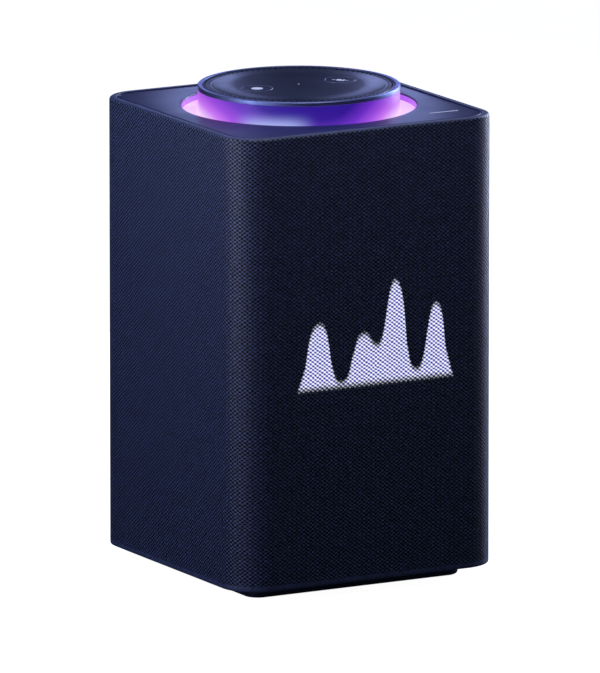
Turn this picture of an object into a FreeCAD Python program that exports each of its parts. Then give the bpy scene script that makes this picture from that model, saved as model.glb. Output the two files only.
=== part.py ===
"""Smart speaker: fabric-covered square column with a lit volume dial on top.

Millimetres, +Z up, front face towards -Y, origin at the middle of the foot pad's
underside. Every piece is its own solid, written to parts/NAME.step.
"""
import FreeCAD, Part
import math
import os
from FreeCAD import Placement, Rotation, Vector

# ---------------------------------------------------------------- driving dimensions
BODY_WIDTH = 141.0            # fabric to fabric, both ways
BODY_CORNER_R = 17.7
BODY_BOTTOM_Z = 6.1
BODY_TOP_Z = 221.8
OVERALL_HEIGHT = 231.4
FABRIC_T = 1.2
FABRIC_TOP_ROLL = 1.9
FABRIC_BOTTOM_ROLL = 1.15
GRILLE_T = 2.2
CLEARANCE = 0.3               # between pieces that move past each other
RUNNING_FIT = 0.05            # radial, dial on its bearing and shaft in its bush

PLINTH_WIDTH = 114.2
PLINTH_CORNER_R = 7.5
PLINTH_EDGE_R = 1.5
PLINTH_LIFT = 0.3             # plinth rim above the floor
PAD_WIDTH = 104.0
PAD_T = 1.6

PLATE_WIDTH = 133.0
PLATE_CORNER_R = 13.5
PLATE_T = 2.8
WELL_R = 55.5                 # round hole in the top plate
WELL_FLOOR_Z = 218.7

DIAL_R = 47.7
SKIRT_R = 47.6
SKIRT_INNER_R = 45.45
SKIRT_TOP_Z = 229.4
GEAR_BOTTOM_Z = 211.8
GEAR_TOP_Z = 215.2
COVER_R = 45.1
COVER_TOP_Z = 231.3
COVER_T = 2.1
BAND_INNER_R = 40.6
BAND_OUTER_R = 44.2
BAND_DEPTH = 0.2
SOUND_HOLES = 90
SOUND_HOLE_R = 42.5           # circle that the holes stand on
SOUND_HOLE_W = 1.4            # across the band
SOUND_HOLE_L = 1.6            # along the band
COVER_RIM_R = 43.3            # inside of the cover's turned-down rim
COVER_SEAT_Z = 228.2
MIC_BOARD_Z = 223.0
MIC_BOARD_T = 1.4
PEDESTAL_SHELF_Z = 218.4

BUTTON_X = 22.4
BUTTON_R = 7.0

GEAR_MODULE = 1.0
RING_TEETH = 84
PINION_TEETH = 14
PRESSURE_ANGLE = math.radians(25)
BACKLASH = 0.12
ENCODER_Y = GEAR_MODULE * (RING_TEETH - PINION_TEETH) / 2

BOX_X = 60.5                  # half width of the baffle and the speaker box
BOX_BOTTOM_Z = 10.3
BOX_TOP_Z = 198.0
BAFFLE_FRONT_Y = -57.0
BAFFLE_T = 4.0
GASKET_T = 1.0
BOX_BACK_Y = 40.0
BOX_WALL = 3.5
SHELF_Z = 152.0

WOOFER_Z = 54.0
WOOFER_SCREW_CIRCLE = 38.9     # radius
MID_X = 19.5
TWEETER_X = 49.4
TREBLE_Z = 174.0
RADIATOR_Y = -6.0
RADIATOR_Z = 55.0

LED_PITCH = 3.5
LED_COLUMNS = 25
LED_ROWS = 16
DISPLAY_Z = 125.0
DISPLAY_W = 92.0
DISPLAY_H = 58.0
DISPLAY_BOARD_Y = -60.2       # front face of the display board
BOARD_T = 1.6

PORT_Z = 23.0
PORT_W = 64.0
PORT_H = 22.0
PORT_FACE_Y = 69.9
DC_X = -24.0
VIDEO_X = -7.0
AUDIO_X = 8.0
NETWORK_X = 21.5
PORT_BOARD_Y = 53.6           # rear face of the board that carries the sockets
MAIN_BOARD_Y = 44.0

SCREW_R = 1.5
SCREW_LENGTH = 8.0
SCREW_HEAD_R = 2.75
SCREW_HEAD_T = 2.0
CORNER_SCREW = 55.0

# ---------------------------------------------------------------- derived sizes
HALF = BODY_WIDTH / 2
GRILLE_HALF = HALF - FABRIC_T
GRILLE_R = BODY_CORNER_R - FABRIC_T
INSIDE_HALF = GRILLE_HALF - GRILLE_T
INSIDE_R = GRILLE_R - GRILLE_T
GRILLE_BOTTOM_Z = BODY_BOTTOM_Z + FABRIC_T
GRILLE_TOP_Z = BODY_TOP_Z - FABRIC_T
LIP_WIDTH = PLATE_WIDTH + 2 * CLEARANCE
FRAME_TOP_Z = 209.6
FRAME_T = 2.6
LED_BOARD_Z = 213.3
GUIDE_R = WELL_R - 0.2
UP = Vector(0, 0, 1)


# ---------------------------------------------------------------- shape helpers
def box(x0, x1, y0, y1, z0, z1):
    """Block between two corners."""
    return Part.makeBox(x1 - x0, y1 - y0, z1 - z0, Vector(x0, y0, z0))


def cylinder(radius, z0, z1, x=0.0, y=0.0):
    """Upright cylinder."""
    return Part.makeCylinder(radius, z1 - z0, Vector(x, y, z0))


def tube(outer, inner, z0, z1, x=0.0, y=0.0):
    """Upright tube."""
    return cylinder(outer, z0, z1, x, y).cut(cylinder(inner, z0 - 1, z1 + 1, x, y))


def rod(radius, y0, y1, x, z):
    """Cylinder along Y."""
    return Part.makeCylinder(radius, y1 - y0, Vector(x, y0, z), Vector(0, 1, 0))


def fused(shapes):
    """One solid from shapes that touch or overlap."""
    return shapes[0].multiFuse(shapes[1:]).removeSplitter() if len(shapes) > 1 else shapes[0]


def less(shape, tools):
    """Shape with several tools cut out of it."""
    return shape.cut(Part.makeCompound(tools))


def rounded_rect_wire(width, depth, radius, z=0.0):
    """Closed rounded rectangle in a level plane, centred on the Z axis."""
    half_w = width / 2
    half_d = depth / 2
    diagonal = radius * (1 - math.sqrt(0.5))
    edges = []
    for sx, sy in ((1, 1), (-1, 1), (-1, -1), (1, -1)):
        on_x = Vector(sx * half_w, sy * (half_d - radius), z)
        on_y = Vector(sx * (half_w - radius), sy * half_d, z)
        middle = Vector(sx * (half_w - diagonal), sy * (half_d - diagonal), z)
        start, end = (on_x, on_y) if sx * sy > 0 else (on_y, on_x)
        if edges:
            edges.append(Part.LineSegment(edges[-1].Vertexes[-1].Point, start).toShape())
        edges.append(Part.Arc(start, middle, end).toShape())
    edges.append(Part.LineSegment(edges[-1].Vertexes[-1].Point, edges[0].Vertexes[0].Point).toShape())
    return Part.Wire(edges)


def rounded_block(width, radius, z0, z1, depth=None):
    """Upright prism with a rounded rectangle as its plan."""
    wire = rounded_rect_wire(width, depth or width, radius, z0)
    return Part.Face(wire).extrude(UP * (z1 - z0))


def rounded_panel(width, height, radius, y0, y1, x, z):
    """Upright plate with a rounded rectangle as its front view."""
    plate = rounded_block(width, radius, 0, y1 - y0, height)
    plate.rotate(Vector(), Vector(1, 0, 0), -90)
    plate.translate(Vector(x, y0, z))
    return plate


def outline(points):
    """Closed wire in the XZ plane; a pair of points is an arc's middle and end."""
    edges = []
    first = Vector(points[0][0], 0, points[0][1])
    here = first
    for point in points[1:] + [points[0]]:
        if isinstance(point[0], tuple):
            middle = Vector(point[0][0], 0, point[0][1])
            end = Vector(point[1][0], 0, point[1][1])
            edges.append(Part.Arc(here, middle, end).toShape())
        else:
            end = Vector(point[0], 0, point[1])
            if (end - here).Length > 1e-6:
                edges.append(Part.LineSegment(here, end).toShape())
        here = end
    return Part.Wire(edges)


def turned(points):
    """Solid of revolution about Z from an outline of (radius, height) points."""
    return Part.Face(outline(points)).revolve(Vector(), UP, 360)


def facing(shape, x, y, z, direction):
    """Turn a piece made along +Z to face front, left or right, and place it."""
    turns = {
        "front": Rotation(Vector(1, 0, 0), 90),
        "right": Rotation(Vector(0, 1, 0), 90),
        "left": Rotation(Vector(0, 1, 0), -90),
    }
    placed = shape.copy()
    placed.Placement = Placement(Vector(x, y, z), turns[direction]).multiply(placed.Placement)
    return placed


def around(count, radius, make, start=0.0):
    """Copies of make() set round the Z axis at a radius."""
    copies = []
    for index in range(count):
        copy = make()
        copy.translate(Vector(radius, 0, 0))
        copy.rotate(Vector(), UP, start + 360.0 * index / count)
        copies.append(copy)
    return copies


def save(name, *shapes):
    """Write one node: one solid, or a group of separate solids."""
    solids = [solid for shape in shapes for solid in shape.Solids]
    node = solids[0] if len(solids) == 1 else Part.makeCompound(solids)
    node.exportStep(f"parts/{name}.step")


# ---------------------------------------------------------------- base
def make_base():
    """Foot pad, plinth and the floor of the chassis."""
    pad = rounded_block(PAD_WIDTH, 5.0, 0, PAD_T)
    save("base_foot_pad", pad)

    plinth = rounded_block(PLINTH_WIDTH, PLINTH_CORNER_R, PLINTH_LIFT, 6.3)
    rim = [edge for edge in plinth.Edges if abs(edge.BoundBox.ZMax - PLINTH_LIFT) < 1e-6]
    plinth = plinth.makeFillet(PLINTH_EDGE_R, rim)
    pad_pocket = rounded_block(PAD_WIDTH, 5.0, -1, PAD_T)
    hollow = rounded_block(PAD_WIDTH, 5.0, 3.4, 7)
    save("base_plinth", less(plinth, [pad_pocket, hollow]))

    lower = rounded_block(129.6, 12.3, 6.3, GRILLE_BOTTOM_Z)
    upper = rounded_block(2 * INSIDE_HALF, INSIDE_R, GRILLE_BOTTOM_Z, BOX_BOTTOM_Z)
    save("base_plate", fused([lower, upper]))


# ---------------------------------------------------------------- outer skins
def make_fabric_cover():
    """Knitted sleeve, rolled in over the grille at the top and the bottom."""
    outer = rounded_block(BODY_WIDTH, BODY_CORNER_R, BODY_BOTTOM_Z, BODY_TOP_Z)
    top = [edge for edge in outer.Edges if abs(edge.BoundBox.ZMin - BODY_TOP_Z) < 1e-6]
    outer = outer.makeFillet(FABRIC_TOP_ROLL, top)
    bottom = [edge for edge in outer.Edges if abs(edge.BoundBox.ZMax - BODY_BOTTOM_Z) < 1e-6]
    outer = outer.makeFillet(FABRIC_BOTTOM_ROLL, bottom)
    inside = rounded_block(2 * GRILLE_HALF, GRILLE_R, GRILLE_BOTTOM_Z, GRILLE_TOP_Z)
    top_mouth = rounded_block(LIP_WIDTH, PLATE_CORNER_R + CLEARANCE, GRILLE_TOP_Z - 1, BODY_TOP_Z + 1)
    bottom_mouth = rounded_block(130.0, 12.5, BODY_BOTTOM_Z - 1, GRILLE_BOTTOM_Z + 1)
    ports = rounded_panel(PORT_W + 2.4, PORT_H + 2.4, 5.2, 60, 75, 0, PORT_Z)
    save("fabric_cover", less(outer, [inside, top_mouth, bottom_mouth, ports]))


def grille_slots():
    """Louvre slots through all four walls, leaving the port and display windows."""
    slots = []
    rows = 22
    for row in range(rows):
        z = 20.0 + 8.6 * row
        for x in (-26.5, 26.5):
            behind_ports = z < PORT_Z + PORT_H / 2 + 8
            beside_display = abs(z - DISPLAY_Z) < DISPLAY_H / 2 + 5
            if not beside_display:
                slots.append(box(x - 22, x + 22, -75, -60, z - 2, z + 2))
            if not behind_ports:
                slots.append(box(x - 22, x + 22, 60, 75, z - 2, z + 2))
            slots.append(box(60, 75, x - 22, x + 22, z - 2, z + 2))
            slots.append(box(-75, -60, x - 22, x + 22, z - 2, z + 2))
    return slots


def make_grille_shell():
    """Moulded sleeve that holds the fabric in shape and lets sound and light out."""
    shell = rounded_block(2 * GRILLE_HALF, GRILLE_R, GRILLE_BOTTOM_Z, GRILLE_TOP_Z)
    inside = rounded_block(2 * INSIDE_HALF, INSIDE_R, 0, 230)
    window = box(-DISPLAY_W / 2 + 1, DISPLAY_W / 2 - 1, -75, -60,
                 DISPLAY_Z - DISPLAY_H / 2 + 0.7, DISPLAY_Z + DISPLAY_H / 2 - 0.7)
    ports = rounded_panel(PORT_W, PORT_H, 4.0, 60, 75, 0, PORT_Z)
    save("grille_shell", less(shell.cut(inside), [window, ports] + grille_slots()))


def make_top_cover():
    """Plate round the dial, with the well's wall, a skirt and four screw bosses."""
    plate = rounded_block(PLATE_WIDTH, PLATE_CORNER_R, BODY_TOP_Z - PLATE_T, BODY_TOP_Z)
    edge = [e for e in plate.Edges if abs(e.BoundBox.ZMin - BODY_TOP_Z) < 1e-6]
    plate = plate.makeChamfer(0.4, edge)
    skirt = rounded_block(PLATE_WIDTH, PLATE_CORNER_R, FRAME_TOP_Z, BODY_TOP_Z - PLATE_T)
    skirt = skirt.cut(rounded_block(PLATE_WIDTH - 4, PLATE_CORNER_R - 2, 200, 230))
    well = cylinder(WELL_R + 1.5, LED_BOARD_Z + BOARD_T + 0.1, BODY_TOP_Z - PLATE_T)
    bosses = [
        cylinder(4.0, FRAME_TOP_Z, BODY_TOP_Z - PLATE_T, sx * CORNER_SCREW, sy * CORNER_SCREW)
        for sx in (-1, 1) for sy in (-1, 1)
    ]
    cover = fused([plate, skirt, well] + bosses)
    pilots = [
        cylinder(SCREW_R, FRAME_TOP_Z - 1, FRAME_TOP_Z + 6, sx * CORNER_SCREW, sy * CORNER_SCREW)
        for sx in (-1, 1) for sy in (-1, 1)
    ]
    cover = less(cover, pilots + [cylinder(WELL_R, 200, 230)])
    mouth = [
        e for e in cover.Edges
        if abs(e.BoundBox.ZMin - BODY_TOP_Z) < 1e-6 and abs(e.BoundBox.XLength - 2 * WELL_R) < 0.01
    ]
    save("top_cover", cover.makeFillet(0.5, mouth))


# ---------------------------------------------------------------- top frame and light ring
def make_top_frame():
    """Tray under the top cover that carries the dial, its encoder and the light ring."""
    floor_z = FRAME_TOP_Z - FRAME_T
    plate = rounded_block(2 * INSIDE_HALF, INSIDE_R, floor_z, FRAME_TOP_Z)
    ring_wall = tube(58.0, 53.0, FRAME_TOP_Z, LED_BOARD_Z)
    thrust_ring = tube(47.3, 44.5, FRAME_TOP_Z, GEAR_BOTTOM_Z - CLEARANCE)
    posts = [cylinder(4.0, BOX_TOP_Z, floor_z, sx * 52, y) for sx in (-1, 1) for y in (-44, 31)]
    frame = fused([plate, ring_wall, thrust_ring] + posts)
    holes = [cylinder(20.0, 200, 215), cylinder(4.5, 200, 215, 0, ENCODER_Y)]
    holes += [
        cylinder(SCREW_R, 200, 215, sx * CORNER_SCREW, sy * CORNER_SCREW)
        for sx in (-1, 1) for sy in (-1, 1)
    ]
    save("top_frame", less(frame, holes))


def make_light_ring():
    """Milky light guide in the well, over a ring board with its LEDs."""
    under_z = LED_BOARD_Z + BOARD_T
    inner = SKIRT_R + 0.4
    guide = turned([
        (inner, under_z), (inner + 1, under_z), (inner + 1, 217.2), (GUIDE_R - 1, 217.2),
        (GUIDE_R - 1, under_z), (GUIDE_R, under_z), (GUIDE_R, WELL_FLOOR_Z), (inner, WELL_FLOOR_Z),
    ])
    save("light_ring_guide", guide)
    board = tube(58.0, inner + 0.4, LED_BOARD_Z, under_z)
    leds = around(36, 51.6, lambda: box(-1.4, 1.4, -1.4, 1.4, under_z, under_z + 1.0))
    save("ring_led_board", board, *leds)


# ---------------------------------------------------------------- dial
def gear_half_angle(radius, teeth, extra):
    """Half the angle that a tooth takes at a radius; extra is flank-to-flank slack."""
    pitch_r = GEAR_MODULE * teeth / 2
    base_r = pitch_r * math.cos(PRESSURE_ANGLE)
    here = math.acos(min(1.0, base_r / radius))
    involute = (math.tan(PRESSURE_ANGLE) - PRESSURE_ANGLE) - (math.tan(here) - here)
    return math.pi / (2 * teeth) + extra / (2 * pitch_r) + involute


def gear_prism(teeth, tip_r, root_r, extra, z0, z1):
    """Prism with involute teeth, one of them pointing along +Y."""
    base_r = GEAR_MODULE * teeth / 2 * math.cos(PRESSURE_ANGLE)
    start_r = max(base_r, root_r)
    steps = 4
    flank = [start_r + (tip_r - start_r) * step / steps for step in range(steps + 1)]
    if root_r < base_r:
        flank = [root_r] + flank
    points = []
    for tooth in range(teeth):
        middle = math.pi / 2 + 2 * math.pi * tooth / teeth
        for side, radii in ((-1, flank), (1, flank[::-1])):
            for radius in radii:
                angle = middle + side * gear_half_angle(max(radius, base_r), teeth, extra)
                points.append(Vector(radius * math.cos(angle), radius * math.sin(angle), z0))
    return Part.Face(Part.makePolygon(points + [points[0]])).extrude(UP * (z1 - z0))


def make_dial():
    """The turning group: metal bezel, lit skirt and the ring gear inside it."""
    bezel = turned([
        (45.4, SKIRT_TOP_Z), (46.2, SKIRT_TOP_Z), (46.2, SKIRT_TOP_Z - 1), (46.9, SKIRT_TOP_Z - 1),
        (46.9, SKIRT_TOP_Z), (DIAL_R, SKIRT_TOP_Z), (DIAL_R, OVERALL_HEIGHT - 0.9),
        (47.3, OVERALL_HEIGHT - 0.35), (46.2, OVERALL_HEIGHT), (45.6, OVERALL_HEIGHT),
        (45.4, OVERALL_HEIGHT - 0.2),
    ])
    save("dial_bezel", bezel)
    skirt = turned([
        (SKIRT_INNER_R, GEAR_TOP_Z), (SKIRT_R, GEAR_TOP_Z), (SKIRT_R, SKIRT_TOP_Z),
        (46.9, SKIRT_TOP_Z), (46.9, SKIRT_TOP_Z - 1), (46.2, SKIRT_TOP_Z - 1),
        (46.2, SKIRT_TOP_Z), (SKIRT_INNER_R, SKIRT_TOP_Z),
    ])
    save("dial_skirt", skirt)
    blank = cylinder(SKIRT_R - 0.1, GEAR_BOTTOM_Z, GEAR_TOP_Z)
    pitch_r = GEAR_MODULE * RING_TEETH / 2
    spaces = gear_prism(RING_TEETH, pitch_r + 1.3 * GEAR_MODULE, pitch_r - 0.8 * GEAR_MODULE,
                        BACKLASH, GEAR_BOTTOM_Z - 1, GEAR_TOP_Z + 1)
    save("dial_gear", blank.cut(spaces))


def make_encoder():
    """Rotary encoder under the tray, with its pinion in mesh with the ring gear."""
    shaft_r = 3.0
    pitch_r = GEAR_MODULE * PINION_TEETH / 2
    body = box(-6.5, 6.5, ENCODER_Y - 6.5, ENCODER_Y + 6.5, 200.6, FRAME_TOP_Z - FRAME_T)
    neck = cylinder(4.5, FRAME_TOP_Z - FRAME_T, 211.2, 0, ENCODER_Y)
    bore = cylinder(shaft_r + RUNNING_FIT, 202.0, 212, 0, ENCODER_Y)
    save("encoder_body", fused([body, neck]).cut(bore))
    teeth = gear_prism(PINION_TEETH, pitch_r + GEAR_MODULE, pitch_r - 1.25 * GEAR_MODULE,
                       -BACKLASH, GEAR_BOTTOM_Z, GEAR_TOP_Z)
    teeth.translate(Vector(0, ENCODER_Y, 0))
    shaft = cylinder(shaft_r, 202.3, GEAR_BOTTOM_Z + 1, 0, ENCODER_Y)
    save("encoder_gear", fused([teeth, shaft]))


def make_pedestal():
    """Fixed hub inside the dial, and the low-friction ring that the dial runs on."""
    pedestal = turned([
        (22.0, FRAME_TOP_Z), (25.0, FRAME_TOP_Z), (25.0, 216.0), (45.1, 216.0),
        (45.1, PEDESTAL_SHELF_Z), (44.2, PEDESTAL_SHELF_Z), (44.2, COVER_SEAT_Z),
        (42.4, COVER_SEAT_Z), (42.4, MIC_BOARD_Z), (40.4, MIC_BOARD_Z),
        (40.4, PEDESTAL_SHELF_Z), (22.0, PEDESTAL_SHELF_Z),
    ])
    save("dial_pedestal", pedestal)
    save("dial_bearing_ring", tube(SKIRT_INNER_R - RUNNING_FIT, 44.2, PEDESTAL_SHELF_Z, 225.8))


def make_mic_cover():
    """Fixed disc inside the bezel: slightly sunk band of sound holes and two button holes."""
    band_z = COVER_TOP_Z - BAND_DEPTH
    under_z = COVER_TOP_Z - COVER_T
    disc = turned([
        (0, under_z), (COVER_RIM_R, under_z), (COVER_RIM_R, COVER_SEAT_Z), (COVER_R, COVER_SEAT_Z),
        (COVER_R, COVER_TOP_Z - 0.1), (COVER_R - 0.1, COVER_TOP_Z), (BAND_OUTER_R, COVER_TOP_Z),
        (BAND_OUTER_R - 0.1, band_z), (BAND_INNER_R + 0.1, band_z), (BAND_INNER_R, COVER_TOP_Z),
        (0, COVER_TOP_Z),
    ])

    def sound_hole():
        across = SOUND_HOLE_W / 2
        along = SOUND_HOLE_L / 2
        return box(-across, across, -along, along, under_z - 1, COVER_TOP_Z + 1)

    tools = around(SOUND_HOLES, SOUND_HOLE_R, sound_hole)
    tools += [cylinder(BUTTON_R + CLEARANCE, 220, 240, side * BUTTON_X) for side in (-1, 1)]
    save("mic_cover", less(disc, tools))


def make_buttons():
    """Two push buttons with a retaining flange and a stem over its dome switch."""
    for name, side in (("assistant_button", -1), ("mute_button", 1)):
        cap = cylinder(BUTTON_R, 228.0, COVER_TOP_Z, side * BUTTON_X)
        rim = [e for e in cap.Edges if abs(e.BoundBox.ZMin - COVER_TOP_Z) < 1e-6]
        cap = cap.makeChamfer(0.25, rim)
        flange = cylinder(BUTTON_R + 1.0, 227.9, 228.8, side * BUTTON_X)
        stem = cylinder(1.5, 226.9, 228.0, side * BUTTON_X)
        save(name, fused([cap, flange, stem]))


def make_mic_board():
    """Round board with microphones and the two dome switches."""
    face = MIC_BOARD_Z + MIC_BOARD_T
    save("mic_board", cylinder(42.3, MIC_BOARD_Z, face))
    capsules = around(6, 38.0, lambda: box(-1.3, 1.3, -1.8, 1.8, face, face + 1.0), start=30)
    save("mic_capsules", *capsules)
    switches = []
    for side in (-1, 1):
        x = side * BUTTON_X
        switches.append(fused([
            box(x - 3, x + 3, -3, 3, face, face + 1.3),
            cylinder(1.8, face + 1.3, face + 1.6, x),
        ]))
    save("dome_switches", *switches)


# ---------------------------------------------------------------- loudspeakers
def roll_surround(inner_foot, inner_r, outer_r, outer_foot, z, thickness):
    """Half-roll rubber edge between a diaphragm and its frame."""
    middle = (inner_r + outer_r) / 2
    reach = (outer_r - inner_r) / 2
    return turned([
        (inner_foot, z), (inner_r + thickness, z),
        ((middle, z + reach - thickness), (outer_r - thickness, z)),
        (outer_foot, z), (outer_foot, z + thickness), (outer_r, z + thickness),
        ((middle, z + reach + thickness), (inner_r, z + thickness)), (inner_foot, z + thickness),
    ])


def dome(radius, height, z, thickness):
    """Thin spherical cap standing on a level at z."""
    side = math.sqrt(0.5)

    def on_cap(r, h, share):
        ball = (r * r + h * h) / (2 * h)
        reach = r * share
        return (reach, z + h - ball + math.sqrt(ball * ball - reach * reach))

    outer_top = (0, z + height)
    inner_top = (0, z + height - thickness)
    return turned([
        (radius, z), (on_cap(radius, height, side), outer_top), inner_top,
        (on_cap(radius - thickness, height - thickness, side), (radius - thickness, z)),
    ])


def make_woofer():
    """Front bass driver: basket, motor, cone, cap, coil, surround and spider."""
    place = dict(x=0, y=BAFFLE_FRONT_Y, z=WOOFER_Z, direction="front")
    basket = turned([
        (34.6, -2.6), (34.6, 2.0), (41.0, 2.0), (41.0, 0), (36.2, 0), (36.2, -3.0), (25.0, -24.0),
        (13.6, -24.0), (13.6, -22.2), (23.8, -22.2),
    ])
    windows = around(6, 30, lambda: box(-9, 9, -6.5, 6.5, -18.5, -6.5), start=30)
    basket = less(basket, windows + driver_holes(WOOFER_SCREW_CIRCLE, 4, 45))
    save("woofer_frame", facing(basket, **place))

    top_plate = tube(26.0, 13.9, -28.0, -24.0)
    magnet = tube(30.0, 16.0, -40.0, -28.0)
    back = fused([cylinder(30.0, -44.0, -40.0), cylinder(11.4, -40.0, -24.0)])
    save("woofer_magnet", *[facing(piece, **place) for piece in (top_plate, magnet, back)])

    cone = turned([(27.9, 1.2), (27.9, 1.9), (26.4, 1.9), (12.6, -8.6), (12.6, -9.6), (26.8, 1.2)])
    save("woofer_cone", facing(cone, **place))
    save("woofer_dust_cap", facing(dome(13.0, 4.0, -8.0, 0.6), **place))
    coil = fused([tube(12.6, 12.2, -30.0, -8.6), tube(13.2, 12.6, -30.0, -22.8)])
    save("woofer_voice_coil", facing(coil, **place))
    surround = roll_surround(25.8, 28.0, 34.0, 36.0, 2.0, 0.6)
    save("woofer_surround", facing(surround, **place))

    ripples = 7
    inner_r = 12.8
    step = 2.0
    lower = [(inner_r + step * k, -14.5 + (0.7 if k % 2 else 0)) for k in range(ripples + 1)]
    upper = [(r, z + 0.5) for r, z in reversed(lower)]
    save("woofer_spider", facing(turned(lower + upper), **place))


def driver_holes(radius, count, start, depth=6.0):
    """Tools for the screw holes round a driver's flange, in its own axis."""
    return around(count, radius, lambda: cylinder(SCREW_R, -depth, 4.0), start)


def make_mids():
    """Pair of midrange drivers above the display."""
    frames = []
    magnets = []
    for side, name in ((-1, "left"), (1, "right")):
        place = dict(x=side * MID_X, y=BAFFLE_FRONT_Y, z=TREBLE_Z, direction="front")
        frames.append(facing(turned([
            (13.6, -2.0), (13.6, 1.6), (18.7, 1.6), (18.7, 0), (15.0, 0), (15.0, -2.0),
            (10.5, -11.0), (6.8, -11.0), (6.8, -9.8), (9.7, -9.8),
        ]), **place))
        motor = cylinder(10.5, -19.0, -11.0).cut(tube(6.8, 5.2, -17.5, -10.0))
        magnets.append(facing(motor, **place))
        cone = turned([
            (10.7, 1.0), (10.7, 1.5), (10.0, 1.5), (5.6, -3.4), (5.6, -14.0), (6.1, -14.0),
            (6.1, -3.9), (10.2, 1.0),
        ])
        cone = fused([cone, dome(6.3, 1.8, -3.4, 0.5)])
        save(f"mid_cone_{name}", facing(cone, **place))
        surround = roll_surround(9.8, 10.8, 13.9, 15.6, 1.6, 0.4)
        save(f"mid_surround_{name}", facing(surround, **place))
    save("mid_frames", *frames)
    save("mid_magnets", *magnets)


def make_tweeters():
    """Pair of dome tweeters outboard of the midranges."""
    bodies = []
    for side, name in ((-1, "left"), (1, "right")):
        place = dict(x=side * TWEETER_X, y=BAFFLE_FRONT_Y, z=TREBLE_Z, direction="front")
        body = fused([cylinder(10.8, 0, 1.6), cylinder(7.4, -9.0, 0)])
        body = less(body, [cylinder(6.9, -0.6, 3), tube(6.3, 5.1, -4.6, 0)])
        bodies.append(facing(body, **place))
        membrane = fused([
            dome(6.6, 2.6, 0.2, 0.3), tube(5.9, 5.5, -3.6, 0.3), tube(6.6, 5.5, 0.0, 0.3),
        ])
        save(f"tweeter_dome_{name}", facing(membrane, **place))
    save("tweeter_bodies", *bodies)


def make_radiators():
    """Passive radiators in the two side walls of the speaker box."""
    frames = []
    for side, name in ((-1, "left"), (1, "right")):
        place = dict(x=side * BOX_X, y=RADIATOR_Y, z=RADIATOR_Z, direction=name)
        frames.append(facing(tube(38.0, 31.6, 0, 1.2), **place))
        plate = fused([cylinder(25.0, -0.5, 1.0), cylinder(14.0, -2.5, -0.5)])
        save(f"radiator_{name}", facing(plate, **place))
        surround = roll_surround(23.0, 25.2, 31.4, 34.0, 1.2, 0.6)
        inward = surround.mirror(Vector(0, 0, 1.2), UP)
        inward = inward.cut(tube(40, 31.6, -5, 1.2)).cut(cylinder(25.2, -5, 1.3))
        save(f"radiator_surround_{name}", facing(inward, **place))
    save("radiator_frames", *frames)


def make_speaker_box():
    """Baffle, gasket and the sealed box with its shelf, radiator holes and bosses."""
    baffle_back = BAFFLE_FRONT_Y + BAFFLE_T
    baffle = box(-BOX_X, BOX_X, BAFFLE_FRONT_Y, baffle_back, BOX_BOTTOM_Z, BOX_TOP_Z)
    standoffs = [
        rod(2.5, DISPLAY_BOARD_Y + BOARD_T, BAFFLE_FRONT_Y, sx * 41, DISPLAY_Z + sz * 24)
        for sx in (-1, 1) for sz in (-1, 1)
    ]
    baffle = fused([baffle] + standoffs)
    tools = [facing(cylinder(36.5, -10, 5), 0, BAFFLE_FRONT_Y, WOOFER_Z, "front")]
    for side in (-1, 1):
        tools.append(facing(cylinder(15.2, -10, 5), side * MID_X, BAFFLE_FRONT_Y, TREBLE_Z, "front"))
        tools.append(facing(cylinder(7.4, -10, 5), side * TWEETER_X, BAFFLE_FRONT_Y, TREBLE_Z, "front"))
    tools += [facing(hole, 0, BAFFLE_FRONT_Y, WOOFER_Z, "front")
              for hole in driver_holes(WOOFER_SCREW_CIRCLE, 4, 45)]
    save("front_baffle", less(baffle, tools))

    gasket_back = baffle_back + GASKET_T
    rim = box(-BOX_X, BOX_X, baffle_back, gasket_back, BOX_BOTTOM_Z, BOX_TOP_Z)
    rim_hole = box(-BOX_X + BOX_WALL, BOX_X - BOX_WALL, -70, 0,
                   BOX_BOTTOM_Z + BOX_WALL, BOX_TOP_Z - BOX_WALL)
    save("baffle_gasket", rim.cut(rim_hole))

    shell = box(-BOX_X, BOX_X, gasket_back, BOX_BACK_Y, BOX_BOTTOM_Z, BOX_TOP_Z)
    shell = shell.cut(box(-BOX_X + BOX_WALL, BOX_X - BOX_WALL, -70, BOX_BACK_Y - BOX_WALL,
                          BOX_BOTTOM_Z + BOX_WALL, BOX_TOP_Z - BOX_WALL))
    shelf = box(-BOX_X + 1, BOX_X - 1, gasket_back + 1, BOX_BACK_Y - 1, SHELF_Z, SHELF_Z + 3)
    bosses = [rod(3.0, BOX_BACK_Y - 1, 44.0, sx * 45, z) for sx in (-1, 1) for z in (90, 184)]
    bosses += [rod(3.0, BOX_BACK_Y - 1, PORT_BOARD_Y - BOARD_T, sx * 45, z)
               for sx in (-1, 1) for z in (17, 74)]
    shell = fused([shell, shelf] + bosses)
    holes = [
        facing(cylinder(33.0, -10, 5), side * BOX_X, RADIATOR_Y, RADIATOR_Z, name)
        for side, name in ((-1, "left"), (1, "right"))
    ]
    save("speaker_enclosure", less(shell, holes))


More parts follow.
